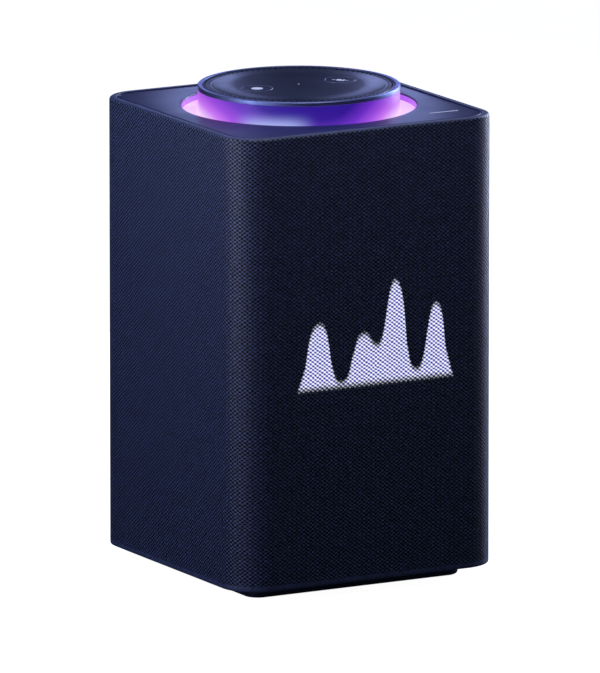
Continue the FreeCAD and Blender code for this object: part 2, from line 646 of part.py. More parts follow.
# ---------------------------------------------------------------- display
def make_display():
    """LED matrix behind the front fabric: board, LEDs and the light grid."""
    front = DISPLAY_BOARD_Y
    board = box(-DISPLAY_W / 2, DISPLAY_W / 2, front, front + BOARD_T,
                DISPLAY_Z - DISPLAY_H / 2, DISPLAY_Z + DISPLAY_H / 2)
    save("display_board", board)
    centres = [
        ((column - (LED_COLUMNS - 1) / 2) * LED_PITCH, DISPLAY_Z + (row - (LED_ROWS - 1) / 2) * LED_PITCH)
        for column in range(LED_COLUMNS) for row in range(LED_ROWS)
    ]
    save("display_leds", *[box(x - 0.9, x + 0.9, front - 0.8, front, z - 0.9, z + 0.9)
                           for x, z in centres])
    cell = (LED_PITCH - 0.6) / 2
    outer = Part.makePolygon([
        Vector(sx * DISPLAY_W / 2, front, DISPLAY_Z + sz * DISPLAY_H / 2)
        for sx, sz in ((-1, -1), (1, -1), (1, 1), (-1, 1), (-1, -1))
    ])
    cells = [
        Part.makePolygon([Vector(x + sx * cell, front, z + sz * cell)
                          for sx, sz in ((-1, -1), (-1, 1), (1, 1), (1, -1), (-1, -1))])
        for x, z in centres
    ]
    grid = Part.Face([outer] + cells).extrude(Vector(0, -6.0, 0))
    save("display_light_grid", grid)


# ---------------------------------------------------------------- electronics
def make_boards():
    """Main board with its heat spreader, amplifier board, and the flat cables."""
    face = MAIN_BOARD_Y + BOARD_T
    main = box(-50, 50, MAIN_BOARD_Y, face, 84, 190)
    chips = [
        box(-10, 10, face, face + 1.4, 125, 145), box(-26, -14, face, face + 1.2, 128, 142),
        box(14, 26, face, face + 1.2, 128, 142), box(-44, -30, face, face + 2.2, 160, 182),
        box(-14, 14, face, face + 4, 86, 91), box(30, 44, face, face + 2.5, 100, 112),
    ]
    save("main_board", main, *chips)
    spreader = box(-12, 12, face + 1.4, face + 3.4, 104, 166)
    fins = [box(x - 0.6, x + 0.6, face + 3.4, face + 11, 104, 166) for x in range(-10, 11, 4)]
    save("heat_spreader", fused([spreader] + fins))

    front = PORT_BOARD_Y - BOARD_T
    board = box(-50, 50, front, PORT_BOARD_Y, 12.5, 80)
    cans = [rod(5.0, front - 11, front, x, 62) for x in (-26, -13, 13, 26)]
    chips = [box(x - 6, x + 6, front - 7, front, 36, 48) for x in (-24, 0, 24)]
    save("amplifier_board", board, *(cans + chips))

    side_x = BOX_X + 0.4
    strap = Part.makePolygon([Vector(*p, 118) for p in (
        (44, -58.4), (side_x + 0.4, -58.4), (side_x + 0.4, 43.4), (47, 43.4), (47, 43.0),
        (side_x, 43.0), (side_x, -58.0), (44, -58.0), (44, -58.4),
    )])
    display_cable = Part.Face(strap).extrude(UP * 12)
    strap = Part.makePolygon([Vector(-8, *p) for p in (
        (43.9, 186), (43.9, 200.2), (12.4, 200.2), (12.4, 222.9), (12.0, 222.9), (12.0, 199.8),
        (43.5, 199.8), (43.5, 186), (43.9, 186),
    )])
    top_cable = Part.Face(strap).extrude(Vector(16, 0, 0))
    save("flat_cables", display_cable, top_cable)


# ---------------------------------------------------------------- ports
def make_ports():
    """Rear port panel and its four sockets."""
    block = rounded_panel(PORT_W, PORT_H, 4.0, 66.6, 69.3, 0, PORT_Z)
    flange = rounded_panel(PORT_W + 2, PORT_H + 2, 5.0, 69.3, PORT_FACE_Y, 0, PORT_Z)
    windows = [
        rod(4.0, 60, 75, DC_X, PORT_Z), rod(3.2, 60, 75, AUDIO_X, PORT_Z),
        box(VIDEO_X - 7.7, VIDEO_X + 7.7, 60, 75, PORT_Z - 2.9, PORT_Z + 2.9),
        box(NETWORK_X - 8.0, NETWORK_X + 8.0, 60, 75, PORT_Z - 6.8, PORT_Z + 6.8),
    ]
    save("port_panel", less(fused([block, flange]), windows))

    back = PORT_BOARD_Y
    body = fused([box(DC_X - 4.6, DC_X + 4.6, back, 66.6, PORT_Z - 5.5, PORT_Z + 5.5),
                  rod(4.0, 66.6, 69.6, DC_X, PORT_Z)])
    barrel = body.cut(rod(2.8, 57.6, 75, DC_X, PORT_Z))
    save("dc_inlet", fused([barrel, rod(1.0, 57.0, 68.6, DC_X, PORT_Z)]))

    body = fused([box(AUDIO_X - 3.8, AUDIO_X + 3.8, back, 66.6, PORT_Z - 3.8, PORT_Z + 3.8),
                  rod(3.2, 66.6, 69.6, AUDIO_X, PORT_Z)])
    save("audio_jack", body.cut(rod(1.8, 55.6, 75, AUDIO_X, PORT_Z)))

    shell = box(VIDEO_X - 7.7, VIDEO_X + 7.7, back, 69.6, PORT_Z - 2.9, PORT_Z + 2.9)
    shell = shell.cut(box(VIDEO_X - 7.2, VIDEO_X + 7.2, back + 4, 75, PORT_Z - 2.4, PORT_Z + 2.4))
    tongue = box(VIDEO_X - 5.8, VIDEO_X + 5.8, back + 3, 68.0, PORT_Z - 0.6, PORT_Z + 0.6)
    save("video_socket", fused([shell, tongue]))

    shell = box(NETWORK_X - 8.0, NETWORK_X + 8.0, back, 69.6, PORT_Z - 6.8, PORT_Z + 6.8)
    mouth = box(NETWORK_X - 6.0, NETWORK_X + 6.0, back + 2.6, 75, PORT_Z - 3.6, PORT_Z + 5.0)
    latch = box(NETWORK_X - 3.0, NETWORK_X + 3.0, back + 2.6, 75, PORT_Z - 5.6, PORT_Z - 3.6)
    shell = less(shell, [mouth, latch])
    contacts = [
        box(NETWORK_X - 4.0 + 1.1 * k, NETWORK_X - 3.6 + 1.1 * k, back + 1.6, 66.0,
            PORT_Z + 4.4, PORT_Z + 5.2)
        for k in range(8)
    ]
    save("network_socket", fused([shell] + contacts))


# ---------------------------------------------------------------- fasteners
def make_screws():
    """M3 x 8 screws: four up into the top cover, four in the bass driver's flange."""
    screw = fused([cylinder(SCREW_HEAD_R, -SCREW_HEAD_T, 0), cylinder(SCREW_R, 0, SCREW_LENGTH)])
    screws = []
    for sx in (-1, 1):
        for sy in (-1, 1):
            copy = screw.copy()
            copy.translate(Vector(sx * CORNER_SCREW, sy * CORNER_SCREW, FRAME_TOP_Z - FRAME_T))
            screws.append(copy)
    driver_screw = screw.mirror(Vector(), UP)
    driver_screw.translate(Vector(0, 0, 2.0))
    for copy in around(4, WOOFER_SCREW_CIRCLE, driver_screw.copy, 45):
        screws.append(facing(copy, 0, BAFFLE_FRONT_Y, WOOFER_Z, "front"))
    save("screws", *screws)


def main():
    """Make every piece."""
    os.makedirs("parts", exist_ok=True)
    make_base()
    make_fabric_cover()
    make_grille_shell()
    make_top_cover()
    make_top_frame()
    make_light_ring()
    make_dial()
    make_encoder()
    make_pedestal()
    make_mic_cover()
    make_buttons()
    make_mic_board()
    make_speaker_box()
    make_woofer()
    make_mids()
    make_tweeters()
    make_radiators()
    make_display()
    make_boards()
    make_ports()
    make_screws()


main()
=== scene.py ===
"""Looks of a fabric-covered smart speaker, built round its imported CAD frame.

Sizes are in millimetres and turn to metres when a mesh is made. +Z is up and the
front faces -Y. Angles round the dial run anticlockwise from +X, seen from above.
"""

from __future__ import annotations

import logging
import math
from collections.abc import Sequence
from dataclasses import dataclass, field
from enum import Enum

import bpy
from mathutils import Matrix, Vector

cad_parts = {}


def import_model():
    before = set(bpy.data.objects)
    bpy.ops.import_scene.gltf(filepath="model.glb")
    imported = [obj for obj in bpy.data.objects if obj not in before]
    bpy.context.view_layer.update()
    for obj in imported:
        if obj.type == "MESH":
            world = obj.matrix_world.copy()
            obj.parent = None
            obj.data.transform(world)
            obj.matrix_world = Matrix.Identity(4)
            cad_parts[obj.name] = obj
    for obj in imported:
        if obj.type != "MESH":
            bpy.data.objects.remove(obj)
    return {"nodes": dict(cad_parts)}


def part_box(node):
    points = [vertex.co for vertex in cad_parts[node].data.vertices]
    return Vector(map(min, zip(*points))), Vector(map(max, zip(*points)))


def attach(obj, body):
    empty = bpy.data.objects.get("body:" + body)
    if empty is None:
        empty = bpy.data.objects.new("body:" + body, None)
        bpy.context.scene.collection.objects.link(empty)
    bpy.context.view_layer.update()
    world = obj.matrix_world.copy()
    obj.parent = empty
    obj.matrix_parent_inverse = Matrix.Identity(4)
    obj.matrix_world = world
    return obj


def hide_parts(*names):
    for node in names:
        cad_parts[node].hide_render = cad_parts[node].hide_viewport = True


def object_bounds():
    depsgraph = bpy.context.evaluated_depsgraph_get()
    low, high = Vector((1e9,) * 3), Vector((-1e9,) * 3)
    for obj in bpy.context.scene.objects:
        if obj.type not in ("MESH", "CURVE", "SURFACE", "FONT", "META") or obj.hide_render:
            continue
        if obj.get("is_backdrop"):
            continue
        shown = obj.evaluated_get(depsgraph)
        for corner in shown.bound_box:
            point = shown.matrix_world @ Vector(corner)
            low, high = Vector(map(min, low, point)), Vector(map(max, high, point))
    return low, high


LOG = logging.getLogger("speaker")
MM = 0.001
SHARP_ANGLE = math.radians(38)
INK_T = 0.03
BLACK = (0.0, 0.0, 0.0, 1.0)
# Nearly all of a noise texture's values lie between these.
NOISE_LOW = 0.3
NOISE_HIGH = 0.7
# The glossiest that a finish gets, and the size of its glossy patches against its colour's.
SMOOTHEST = 0.03
WEAR_SHARE = 0.6
SCATTER_MM = 1.5
WAVE_TURN = 6.283
# Segments in each small arc.
ARC = 8

COORDINATES = "ShaderNodeTexCoord"
SEPARATE = "ShaderNodeSeparateXYZ"
COMBINE = "ShaderNodeCombineXYZ"
MATHS = "ShaderNodeMath"
VECTOR_MATHS = "ShaderNodeVectorMath"
MIX = "ShaderNodeMix"
NOISE = "ShaderNodeTexNoise"
RAMP = "ShaderNodeValToRGB"
REMAP = "ShaderNodeMapRange"
BUMP = "ShaderNodeBump"

Colour = tuple[float, float, float, float]
Ring = list[Vector]
Profile = list[tuple[float, float]]
Source = bpy.types.Node | bpy.types.NodeSocket | float | Sequence[float]


def linear(code: str) -> Colour:
    """Turns an sRGB hex colour to linear light.

    Args:
        code: Six hex digits after a hash sign.

    Returns:
        Red, green, blue and an alpha of one.
    """
    parts = [int(code[i : i + 2], 16) / 255 for i in (1, 3, 5)]
    light = [p / 12.92 if p <= 0.04045 else ((p + 0.055) / 1.055) ** 2.4 for p in parts]
    return light[0], light[1], light[2], 1.0


def add(
    tree: bpy.types.NodeTree,
    kind: str,
    inputs: dict[str | int, Source] | None = None,
    stops: Sequence[tuple[float, str]] = (),
    points: Sequence[tuple[float, float]] = (),
    **settings: str | float | bool,
) -> bpy.types.Node:
    """Adds one node with its settings and links.

    Args:
        tree: Node tree that takes the node.
        kind: Blender's name for the kind of node.
        inputs: Values, or nodes and sockets to link, by input name or index.
        stops: Positions and hex colours of a colour ramp.
        points: Points of a float curve.
        settings: The node's own attributes.

    Returns:
        The new node.
    """
    node = tree.nodes.new(kind)
    for name, value in settings.items():
        setattr(node, name, value)
    for name, value in (inputs or {}).items():
        if isinstance(name, int):
            socket = node.inputs[name]
        else:
            socket = next(s for s in node.inputs if s.enabled and s.name == name)
        if isinstance(value, bpy.types.Node):
            value = next(s for s in value.outputs if s.enabled)
        if isinstance(value, bpy.types.NodeSocket):
            tree.links.new(value, socket)
        else:
            socket.default_value = value
    for index, (position, code) in enumerate(stops):
        elements = node.color_ramp.elements
        element = elements[index] if index < 2 else elements.new(position)
        element.position = position
        element.color = linear(code)
    for index, (x, y) in enumerate(points):
        curve = node.mapping.curves[0]
        if index < 2:
            curve.points[index].location = (x, y)
        else:
            curve.points.new(x, y)
    if points:
        node.mapping.update()
    return node


# ------------------------------------------------------------------ finishes
class Relief(Enum):
    """How a surface was made, which decides its fine texture."""

    MOULDED = "moulded"
    DRAWN = "drawn"
    TURNED = "turned"
    WOUND = "wound"
    PULP = "pulp"
    ETCHED = "etched"


@dataclass(frozen=True)
class Finish:
    """One real material with the texture that its making leaves."""

    name: str
    colour: str
    drift: str
    roughness: float
    metallic: float = 0.0
    ior: float = 1.5
    specular: float = 0.5
    coat: float = 0.0
    coat_roughness: float = 0.08
    coat_ior: float = 1.5
    subsurface: float = 0.0
    relief: Relief = Relief.MOULDED
    grain_mm: float = 0.5
    depth_mm: float = 0.01
    patch_mm: float = 14.0
    roughness_swing: float = 0.07
    glow: str = ""
    glow_strength: float = 0.0

    def texture(self, tree: bpy.types.NodeTree, place: bpy.types.NodeSocket) -> bpy.types.Node:
        """Adds the fine texture of the surface.

        Args:
            tree: The material's node tree.
            place: Position on the object in metres.

        Returns:
            A node that gives the height from 0 to 1.
        """
        scale = 1 / (self.grain_mm * MM)
        if self.relief is Relief.MOULDED:
            return add(tree, NOISE, {"Vector": place, "Scale": scale, "Detail": 3.0})
        if self.relief is Relief.PULP:
            warped = add(tree, VECTOR_MATHS, {0: place, 1: (1.0, 0.3, 1.0)}, operation="MULTIPLY")
            return add(
                tree, NOISE, {"Vector": warped, "Scale": scale, "Detail": 6.0, "Distortion": 1.6}
            )
        if self.relief is Relief.ETCHED:
            return add(
                tree,
                "ShaderNodeTexBrick",
                {"Vector": place, "Scale": scale, "Mortar Size": 0.06, "Color1": (0.2,) * 4,
                 "Color2": (0.35,) * 4, "Mortar": (1.0,) * 4},
            )
        if self.relief is Relief.WOUND:
            return add(
                tree,
                "ShaderNodeTexWave",
                {"Vector": place, "Scale": scale / WAVE_TURN, "Distortion": 0.4, "Detail": 1.0},
                bands_direction="Y",
            )
        if self.relief is Relief.DRAWN:
            stretched = add(
                tree, VECTOR_MATHS, {0: place, 1: (0.04, 1.0, 1.0)}, operation="MULTIPLY"
            )
            return add(tree, NOISE, {"Vector": stretched, "Scale": scale, "Detail": 4.0})
        flat = add(tree, VECTOR_MATHS, {0: place, 1: (1.0, 1.0, 0.0)}, operation="MULTIPLY")
        radius = add(tree, VECTOR_MATHS, {0: flat}, operation="LENGTH").outputs["Value"]
        height = add(tree, SEPARATE, {0: place}).outputs["Z"]
        lathe = add(tree, COMBINE, {"X": radius, "Y": height})
        return add(tree, NOISE, {"Vector": lathe, "Scale": scale, "Detail": 4.0})

    def colour_of(
        self, tree: bpy.types.NodeTree, place: bpy.types.NodeSocket, height: bpy.types.Node
    ) -> bpy.types.Node:
        """Adds the colour, which drifts in broad patches and with the texture.

        Args:
            tree: The material's node tree.
            place: Position on the object in metres.
            height: The texture's height.

        Returns:
            A node that gives the colour.
        """
        scale = 1 / (self.patch_mm * MM)
        patch = add(tree, NOISE, {"Vector": place, "Scale": scale, "Detail": 2.0})
        both = add(tree, MATHS, {0: patch, 1: height}, operation="MULTIPLY")
        return add(
            tree,
            MIX,
            {"Factor": both, "A": linear(self.colour), "B": linear(self.drift)},
            data_type="RGBA",
        )

    def glow_of(
        self, tree: bpy.types.NodeTree, place: bpy.types.NodeSocket
    ) -> dict[str | int, Source]:
        """Says what the surface gives off: its own colour and strength, or nothing."""
        if not self.glow:
            return {}
        return {"Emission Color": linear(self.glow), "Emission Strength": self.glow_strength}

    def coat_of(self, tree: bpy.types.NodeTree, height: bpy.types.Node) -> Source:
        """Gives the weight of the clear coat."""
        return self.coat

    def build(self) -> bpy.types.Material:
        """Builds the material.

        Returns:
            The finished material.
        """
        material = bpy.data.materials.new(self.name)
        material.use_nodes = True
        tree = material.node_tree
        tree.nodes.clear()
        place = add(tree, COORDINATES).outputs["Object"]
        height = self.texture(tree, place)
        scale = 1 / (self.patch_mm * WEAR_SHARE * MM)
        uneven = add(tree, NOISE, {"Vector": place, "Scale": scale})
        swing = self.roughness_swing
        roughness = add(
            tree,
            REMAP,
            {
                "Value": uneven,
                "From Min": NOISE_LOW,
                "From Max": NOISE_HIGH,
                "To Min": max(self.roughness - swing, SMOOTHEST),
                "To Max": min(self.roughness + swing, 1.0),
            },
        )
        depth = self.depth_mm * MM
        normal = add(tree, BUMP, {"Height": height, "Distance": depth, "Strength": 1.0})
        shader = add(
            tree,
            "ShaderNodeBsdfPrincipled",
            {
                "Base Color": self.colour_of(tree, place, height),
                "Roughness": roughness,
                "Metallic": self.metallic,
                "Specular IOR Level": self.specular,
                "Coat Weight": self.coat_of(tree, height),
                "Coat Roughness": self.coat_roughness,
                "Coat IOR": self.coat_ior,
                "Subsurface Weight": self.subsurface,
                "Subsurface Scale": SCATTER_MM * MM,
                "Normal": normal,
                **self.glow_of(tree, place),
            },
        )
        if not self.metallic:
            shader.inputs["IOR"].default_value = self.ior
        add(tree, "ShaderNodeOutputMaterial", {"Surface": shader})
        return material


@dataclass(frozen=True)
class Lobe:
    """A stretch of the skirt's painted light that is brighter round one direction."""

    angle: float
    width: float
    level: float


@dataclass(frozen=True)
class SkirtWithPaintedLight(Finish):
    """Satin violet acrylic whose light is painted in its emission: the glow of the ring of LEDs
    below it, brighter in stretches and fading upward, and a painted glint.
    """

    low_mm: float = 219.0
    high_mm: float = 229.0
    gain: float = 0.14
    fade: float = 0.22
    lobes: tuple[Lobe, ...] = ()
    glint: Lobe = Lobe(226.0, 29.0, 0.97)
    glint_colour: str = "#B6C6FF"
    glint_top_mm: float = 228.5
    glint_least: float = 0.06
    glint_falloff: float = 2.0

    def lobe(self, tree: bpy.types.NodeTree, angle: bpy.types.Node, lobe: Lobe) -> bpy.types.Node:
        """Adds one stretch of brighter painted light.

        Args:
            tree: The material's node tree.
            angle: Direction round the dial.
            lobe: The stretch.

        Returns:
            A node that gives its share at each direction.
        """
        turn = add(tree, MATHS, {0: angle, 1: math.radians(lobe.angle)}, operation="SUBTRACT")
        facing = add(tree, MATHS, {0: turn}, operation="COSINE")
        return add(
            tree,
            REMAP,
            {
                "Value": facing,
                "From Min": math.cos(math.radians(lobe.width)),
                "From Max": 1.0,
                "To Min": 0.0,
                "To Max": lobe.level,
            },
            interpolation_type="SMOOTHSTEP",
        )

    def glow_of(
        self, tree: bpy.types.NodeTree, place: bpy.types.NodeSocket
    ) -> dict[str | int, Source]:
        """Adds the painted light, stretch by stretch, fading towards the bezel, and the painted
        glint.

        Args:
            tree: The material's node tree.
            place: Position on the object in metres.

        Returns:
            The shader's emission inputs.
        """
        split = add(tree, SEPARATE, {0: place})
        angle = add(
            tree, MATHS, {0: split.outputs["Y"], 1: split.outputs["X"]}, operation="ARCTAN2"
        )
        # Painted light: brighter stretches round the dial, strongest low down and fading towards
        # the bezel.
        level: Source = 0.0
        for lobe in self.lobes:
            share = self.lobe(tree, angle, lobe)
            level = add(tree, MATHS, {0: level, 1: share}, operation="MAXIMUM")
        climb = add(
            tree,
            REMAP,
            {
                "Value": split.outputs["Z"],
                "From Min": self.low_mm * MM,
                "From Max": self.high_mm * MM,
                "To Min": self.gain,
                "To Max": -self.fade,
            },
        )
        reach = add(tree, MATHS, {0: level, 1: climb}, operation="ADD", use_clamp=True)
        light = add(
            tree,
            RAMP,
            {0: reach},
            stops=(
                (0.0, "#321699"),
                (1.0, "#F6D2FD"),
                (0.32, "#6E2CCB"),
                (0.6, "#A650E9"),
                (0.8, "#D17BFA"),
            ),
        )
        # Painted glint: a painted highlight near the skirt's foot that fades upward.
        low = add(
            tree,
            REMAP,
            {
                "Value": split.outputs["Z"],
                "From Min": self.low_mm * MM,
                "From Max": self.glint_top_mm * MM,
                "To Min": 1.0,
                "To Max": self.glint_least,
            },
            interpolation_type="SMOOTHSTEP",
        )
        glint = add(
            tree, MATHS, {0: self.lobe(tree, angle, self.glint), 1: low}, operation="MULTIPLY"
        )
        softened_glint = add(tree, MATHS, {0: glint, 1: self.glint_falloff}, operation="POWER")
        seen = add(
            tree,
            MIX,
            {"Factor": softened_glint, "A": light, "B": linear(self.glint_colour)},
            data_type="RGBA",
        )
        return {"Emission Color": seen, "Emission Strength": self.glow_strength}


@dataclass(frozen=True)
class PaintWithShadedHoles(Finish):
    """Satin paint with painted shade: black below a set height, which takes in the sound holes."""

    sunk_shade: str = "#020308"
    shaded_below_mm: float = 231.0

    def colour_of(
        self, tree: bpy.types.NodeTree, place: bpy.types.NodeSocket, height: bpy.types.Node
    ) -> bpy.types.Node:
        """Adds the paint's colour, and painted shade, black, below a set height.

        Args:
            tree: The material's node tree.
            place: Position on the object in metres.
            height: The texture's height.

        Returns:
            A node that gives the colour.
        """
        paint = super().colour_of(tree, place, height)
        level = add(tree, SEPARATE, {0: place}).outputs["Z"]
        # Painted shade: black below the set height, in the sound holes.
        below = add(
            tree, MATHS, {0: level, 1: self.shaded_below_mm * MM}, operation="LESS_THAN"
        )
        return add(
            tree,
            MIX,
            {"Factor": below, "A": paint, "B": linear(self.sunk_shade)},
            data_type="RGBA",
        )


@dataclass(frozen=True)
class KnitMesh(Finish):
    """Warp-knitted polyester mesh: open cells between crossing threads."""

    perimeter_mm: float = 533.6
    columns: int = 214
    row_mm: float = 1.85
    # Painted shade in the open cells, over the black grille behind them; the back seam takes this
    # dark too.
    hole_shade_and_seam: str = "#02030A"
    # Painted highlight on the raised thread crossings.
    crossing_highlight: str = "#536296"
    seam_mm: float = 1.1
    wander_mm: float = 0.9
    middle_mm: float = 113.95
    open_half_mm: float = 106.2
    front_mm: float = 70.0
    outline: tuple[tuple[float, float], ...] = ()
    outline_low_mm: float = 96.0
    outline_high_mm: float = 154.0
    outline_left_mm: float = -46.0
    outline_right_mm: float = 50.0
    edge_mm: float = 4.4
    corner_mm: float = 1.2
    slant: float = -0.12
    lit_reach: float = 2.4
    wander_scale: float = 330.0
    fuzz_scale: float = 520.0
    fuzz_dark: float = 0.6
    fuzz_bright: float = 1.4
    hole_edge: float = -0.2
    hole_floor: float = 0.5
    thread_height: float = 0.85
    crossing_edge: float = 0.4
    crossing_height: float = 0.15
    lustre_low: float = 0.35
    lustre_high: float = 0.9
    rim_before_mm: float = 0.5
    rim_after_mm: float = 0.4
    rim_height: float = 0.8
    seam_core_mm: float = 0.3
    seam_share: float = 0.85

    def cells(self, tree: bpy.types.NodeTree) -> tuple[bpy.types.Node, ...]:
        """Adds the lattice of holes and of thread crossings.

        Args:
            tree: The material's node tree.

        Returns:
            How far a point is inside a hole, how far it is on an upper crossing, and how
            far it is along the threads that slant down to the right.
        """
        cloth = add(tree, COORDINATES).outputs["UV"]
        wander = add(tree, NOISE, {"Vector": cloth, "Scale": self.wander_scale, "Detail": 1.0})
        moved = add(
            tree,
            VECTOR_MATHS,
            {0: wander.outputs["Color"], 1: (self.wander_mm * MM,) * 2 + (0.0,), 2: cloth},
            operation="MULTIPLY_ADD",
        )
        split = add(tree, SEPARATE, {0: moved})
        waves, swings = [], []
        for axis, pitch in (("X", self.perimeter_mm / self.columns), ("Y", self.row_mm)):
            phase = add(
                tree,
                MATHS,
                {0: split.outputs[axis], 1: 2 * math.pi / (pitch * MM)},
                operation="MULTIPLY",
            )
            waves.append(add(tree, MATHS, {0: phase}, operation="COSINE"))
            swings.append(add(tree, MATHS, {0: phase}, operation="SINE"))
        inside = add(tree, MATHS, {0: waves[0], 1: waves[1]}, operation="MULTIPLY")
        on_thread = add(tree, MATHS, {0: waves[1], 1: waves[0]}, operation="SUBTRACT")
        slanted = add(tree, MATHS, {0: swings[0], 1: swings[1]}, operation="MULTIPLY")
        return inside, on_thread, slanted

    def away(self, tree: bpy.types.NodeTree, axis: str, middle_mm: float) -> bpy.types.Node:
        """Adds the distance along the cloth from a line across it.

        Args:
            tree: The material's node tree.
            axis: Cloth axis that the distance is along.
            middle_mm: Where the line is.

        Returns:
            A node that gives the distance in metres.
        """
        cloth = add(tree, SEPARATE, {0: add(tree, COORDINATES).outputs["UV"]}).outputs[axis]
        past = add(tree, MATHS, {0: cloth, 1: middle_mm * MM}, operation="SUBTRACT")
        return add(tree, MATHS, {0: past}, operation="ABSOLUTE")

    def rolled(self, tree: bpy.types.NodeTree) -> bpy.types.Node:
        """Adds the share of a point in a rolled rim, where the cells are drawn shut."""
        return add(
            tree,
            REMAP,
            {
                "Value": self.away(tree, "Y", self.middle_mm),
                "From Min": (self.open_half_mm - self.rim_before_mm) * MM,
                "From Max": (self.open_half_mm + self.rim_after_mm) * MM,
                "To Min": 0.0,
                "To Max": self.rim_height,
            },
            interpolation_type="SMOOTHSTEP",
        )

    def texture(self, tree: bpy.types.NodeTree, place: bpy.types.NodeSocket) -> bpy.types.Node:
        """Adds the height: sunk holes between threads, shut in the rolled rims.

        Args:
            tree: The material's node tree.
            place: Position on the object in metres; not used.

        Returns:
            A node that gives the height.
        """
        inside, on_thread, _ = self.cells(tree)
        sunk = add(
            tree,
            REMAP,
            {
                "Value": inside,
                "From Min": self.hole_edge,
                "From Max": self.hole_floor,
                "To Min": self.thread_height,
                "To Max": 0.0,
            },
            interpolation_type="SMOOTHSTEP",
        )
        raised = add(
            tree,
            REMAP,
            {
                "Value": on_thread,
                "From Min": self.crossing_edge,
                "From Max": 2.0,
                "To Min": 0.0,
                "To Max": self.crossing_height,
            },
        )
        knit = add(tree, MATHS, {0: sunk, 1: raised}, operation="ADD")
        return add(tree, MATHS, {0: knit, 1: self.rolled(tree)}, operation="MAXIMUM")

    def colour_of(
        self, tree: bpy.types.NodeTree, place: bpy.types.NodeSocket, height: bpy.types.Node
    ) -> bpy.types.Node:
        """Adds the colours: painted shade in the holes, threads lighter as they rise, a painted
        highlight on the crossings, and the back seam.

        Args:
            tree: The material's node tree.
            place: Position on the object in metres.
            height: The knit's height.

        Returns:
            A node that gives the colour.
        """
        # Colour by height: painted shade down into the holes, the threads' navy, and a painted
        # highlight on the thread tops and the raised crossings; the rolled rims take the tops'
        # painted highlight.
        threads = add(
            tree,
            RAMP,
            {0: height},
            stops=((0.2, self.hole_shade_and_seam), (1.0, self.crossing_highlight), (0.52, self.colour), (0.8, self.drift)),
        )
        fuzz = add(tree, NOISE, {"Vector": place, "Scale": self.fuzz_scale, "Detail": 2.0})
        uneven = add(
            tree,
            REMAP,
            {
                "Value": fuzz,
                "From Min": NOISE_LOW,
                "From Max": NOISE_HIGH,
                "To Min": self.fuzz_dark,
                "To Max": self.fuzz_bright,
            },
        )
        cloth = add(
            tree,
            MIX,
            {"Factor": 1.0, "A": threads, "B": uneven},
            data_type="RGBA",
            blend_type="MULTIPLY",
        )
        return add(
            tree,
            MIX,
            {"Factor": self.seam(tree), "A": cloth, "B": linear(self.hole_shade_and_seam)},
            data_type="RGBA",
        )

    def coat_of(self, tree: bpy.types.NodeTree, height: bpy.types.Node) -> Source:
        """Adds the threads' lustre, which the holes don't have."""
        return add(
            tree,
            REMAP,
            {
                "Value": height,
                "From Min": self.lustre_low,
                "From Max": self.lustre_high,
                "To Min": 0.0,
                "To Max": self.coat,
            },
        )

    def seam(self, tree: bpy.types.NodeTree) -> bpy.types.Node:
        """Adds the line where the sleeve is sewn shut, down the middle of the back."""
        half = self.perimeter_mm / 2
        return add(
            tree,
            REMAP,
            {
                "Value": self.away(tree, "X", half),
                "From Min": (half - self.seam_mm) * MM,
                "From Max": (half - self.seam_core_mm) * MM,
                "To Min": 0.0,
                "To Max": self.seam_share,
            },
            interpolation_type="SMOOTHSTEP",
        )

    def glow_of(
        self, tree: bpy.types.NodeTree, place: bpy.types.NodeSocket
    ) -> dict[str | int, Source]:
        """Adds the display's light, which comes through the holes of the front.

        Args:
            tree: The material's node tree.
            place: Position on the object in metres.

        Returns:
            The shader's emission inputs.
        """
        split = add(tree, SEPARATE, {0: place})
        width = self.outline_right_mm - self.outline_left_mm
        rise = self.outline_high_mm - self.outline_low_mm
        across = add(
            tree,
            REMAP,
            {
                "Value": split.outputs["X"],
                "From Min": self.outline_left_mm * MM,
                "From Max": self.outline_right_mm * MM,
            },
        )
        shape = tuple(
            ((x - self.outline_left_mm) / width, (z - self.outline_low_mm) / rise)
            for x, z in self.outline
        )
        ends = (shape[0], shape[-1], *shape[1:-1])
        curve = add(tree, "ShaderNodeFloatCurve", {"Value": across}, points=ends)
        top = add(
            tree,
            MATHS,
            {0: curve, 1: rise * MM, 2: self.outline_low_mm * MM},
            operation="MULTIPLY_ADD",
        )
        below = add(tree, MATHS, {0: top, 1: split.outputs["Z"]}, operation="SUBTRACT")
        base = self.outline[0][1]
        above = add(tree, MATHS, {0: split.outputs["Z"], 1: base * MM}, operation="SUBTRACT")
        within = add(
            tree,
            MATHS,
            {0: below, 1: above, 2: self.corner_mm * MM},
            operation="SMOOTH_MIN",
        )
        lit = add(
            tree,
            REMAP,
            {"Value": within, "From Min": 0.0, "From Max": self.edge_mm * MM},
        )
        front = add(
            tree, MATHS, {0: split.outputs["Y"], 1: -self.front_mm * MM}, operation="LESS_THAN"
        )
        inside, _, slanted = self.cells(tree)
        cell = add(
            tree, MATHS, {0: slanted, 1: self.slant, 2: inside}, operation="MULTIPLY_ADD"
        )
        through = add(tree, REMAP, {"Value": cell, "From Min": -1.0, "From Max": 1.0})
        reach = add(tree, MATHS, {0: lit, 1: 2.0, 2: through}, operation="MULTIPLY_ADD")
        dotted = add(tree, REMAP, {"Value": reach, "From Min": 1.0, "From Max": self.lit_reach})
        shown = add(tree, MATHS, {0: dotted, 1: front}, operation="MULTIPLY")
        light = add(
            tree,
            RAMP,
            {0: through},
            stops=((0.08, "#3C3C98"), (0.8, "#FFFFFF"), (0.36, "#6262BE"), (0.56, "#CDD0F5")),
        )
        seen = add(
            tree,
            MIX,
            {"Factor": shown, "A": BLACK, "B": light},
            data_type="RGBA",
        )
        return {"Emission Color": seen, "Emission Strength": self.glow_strength}


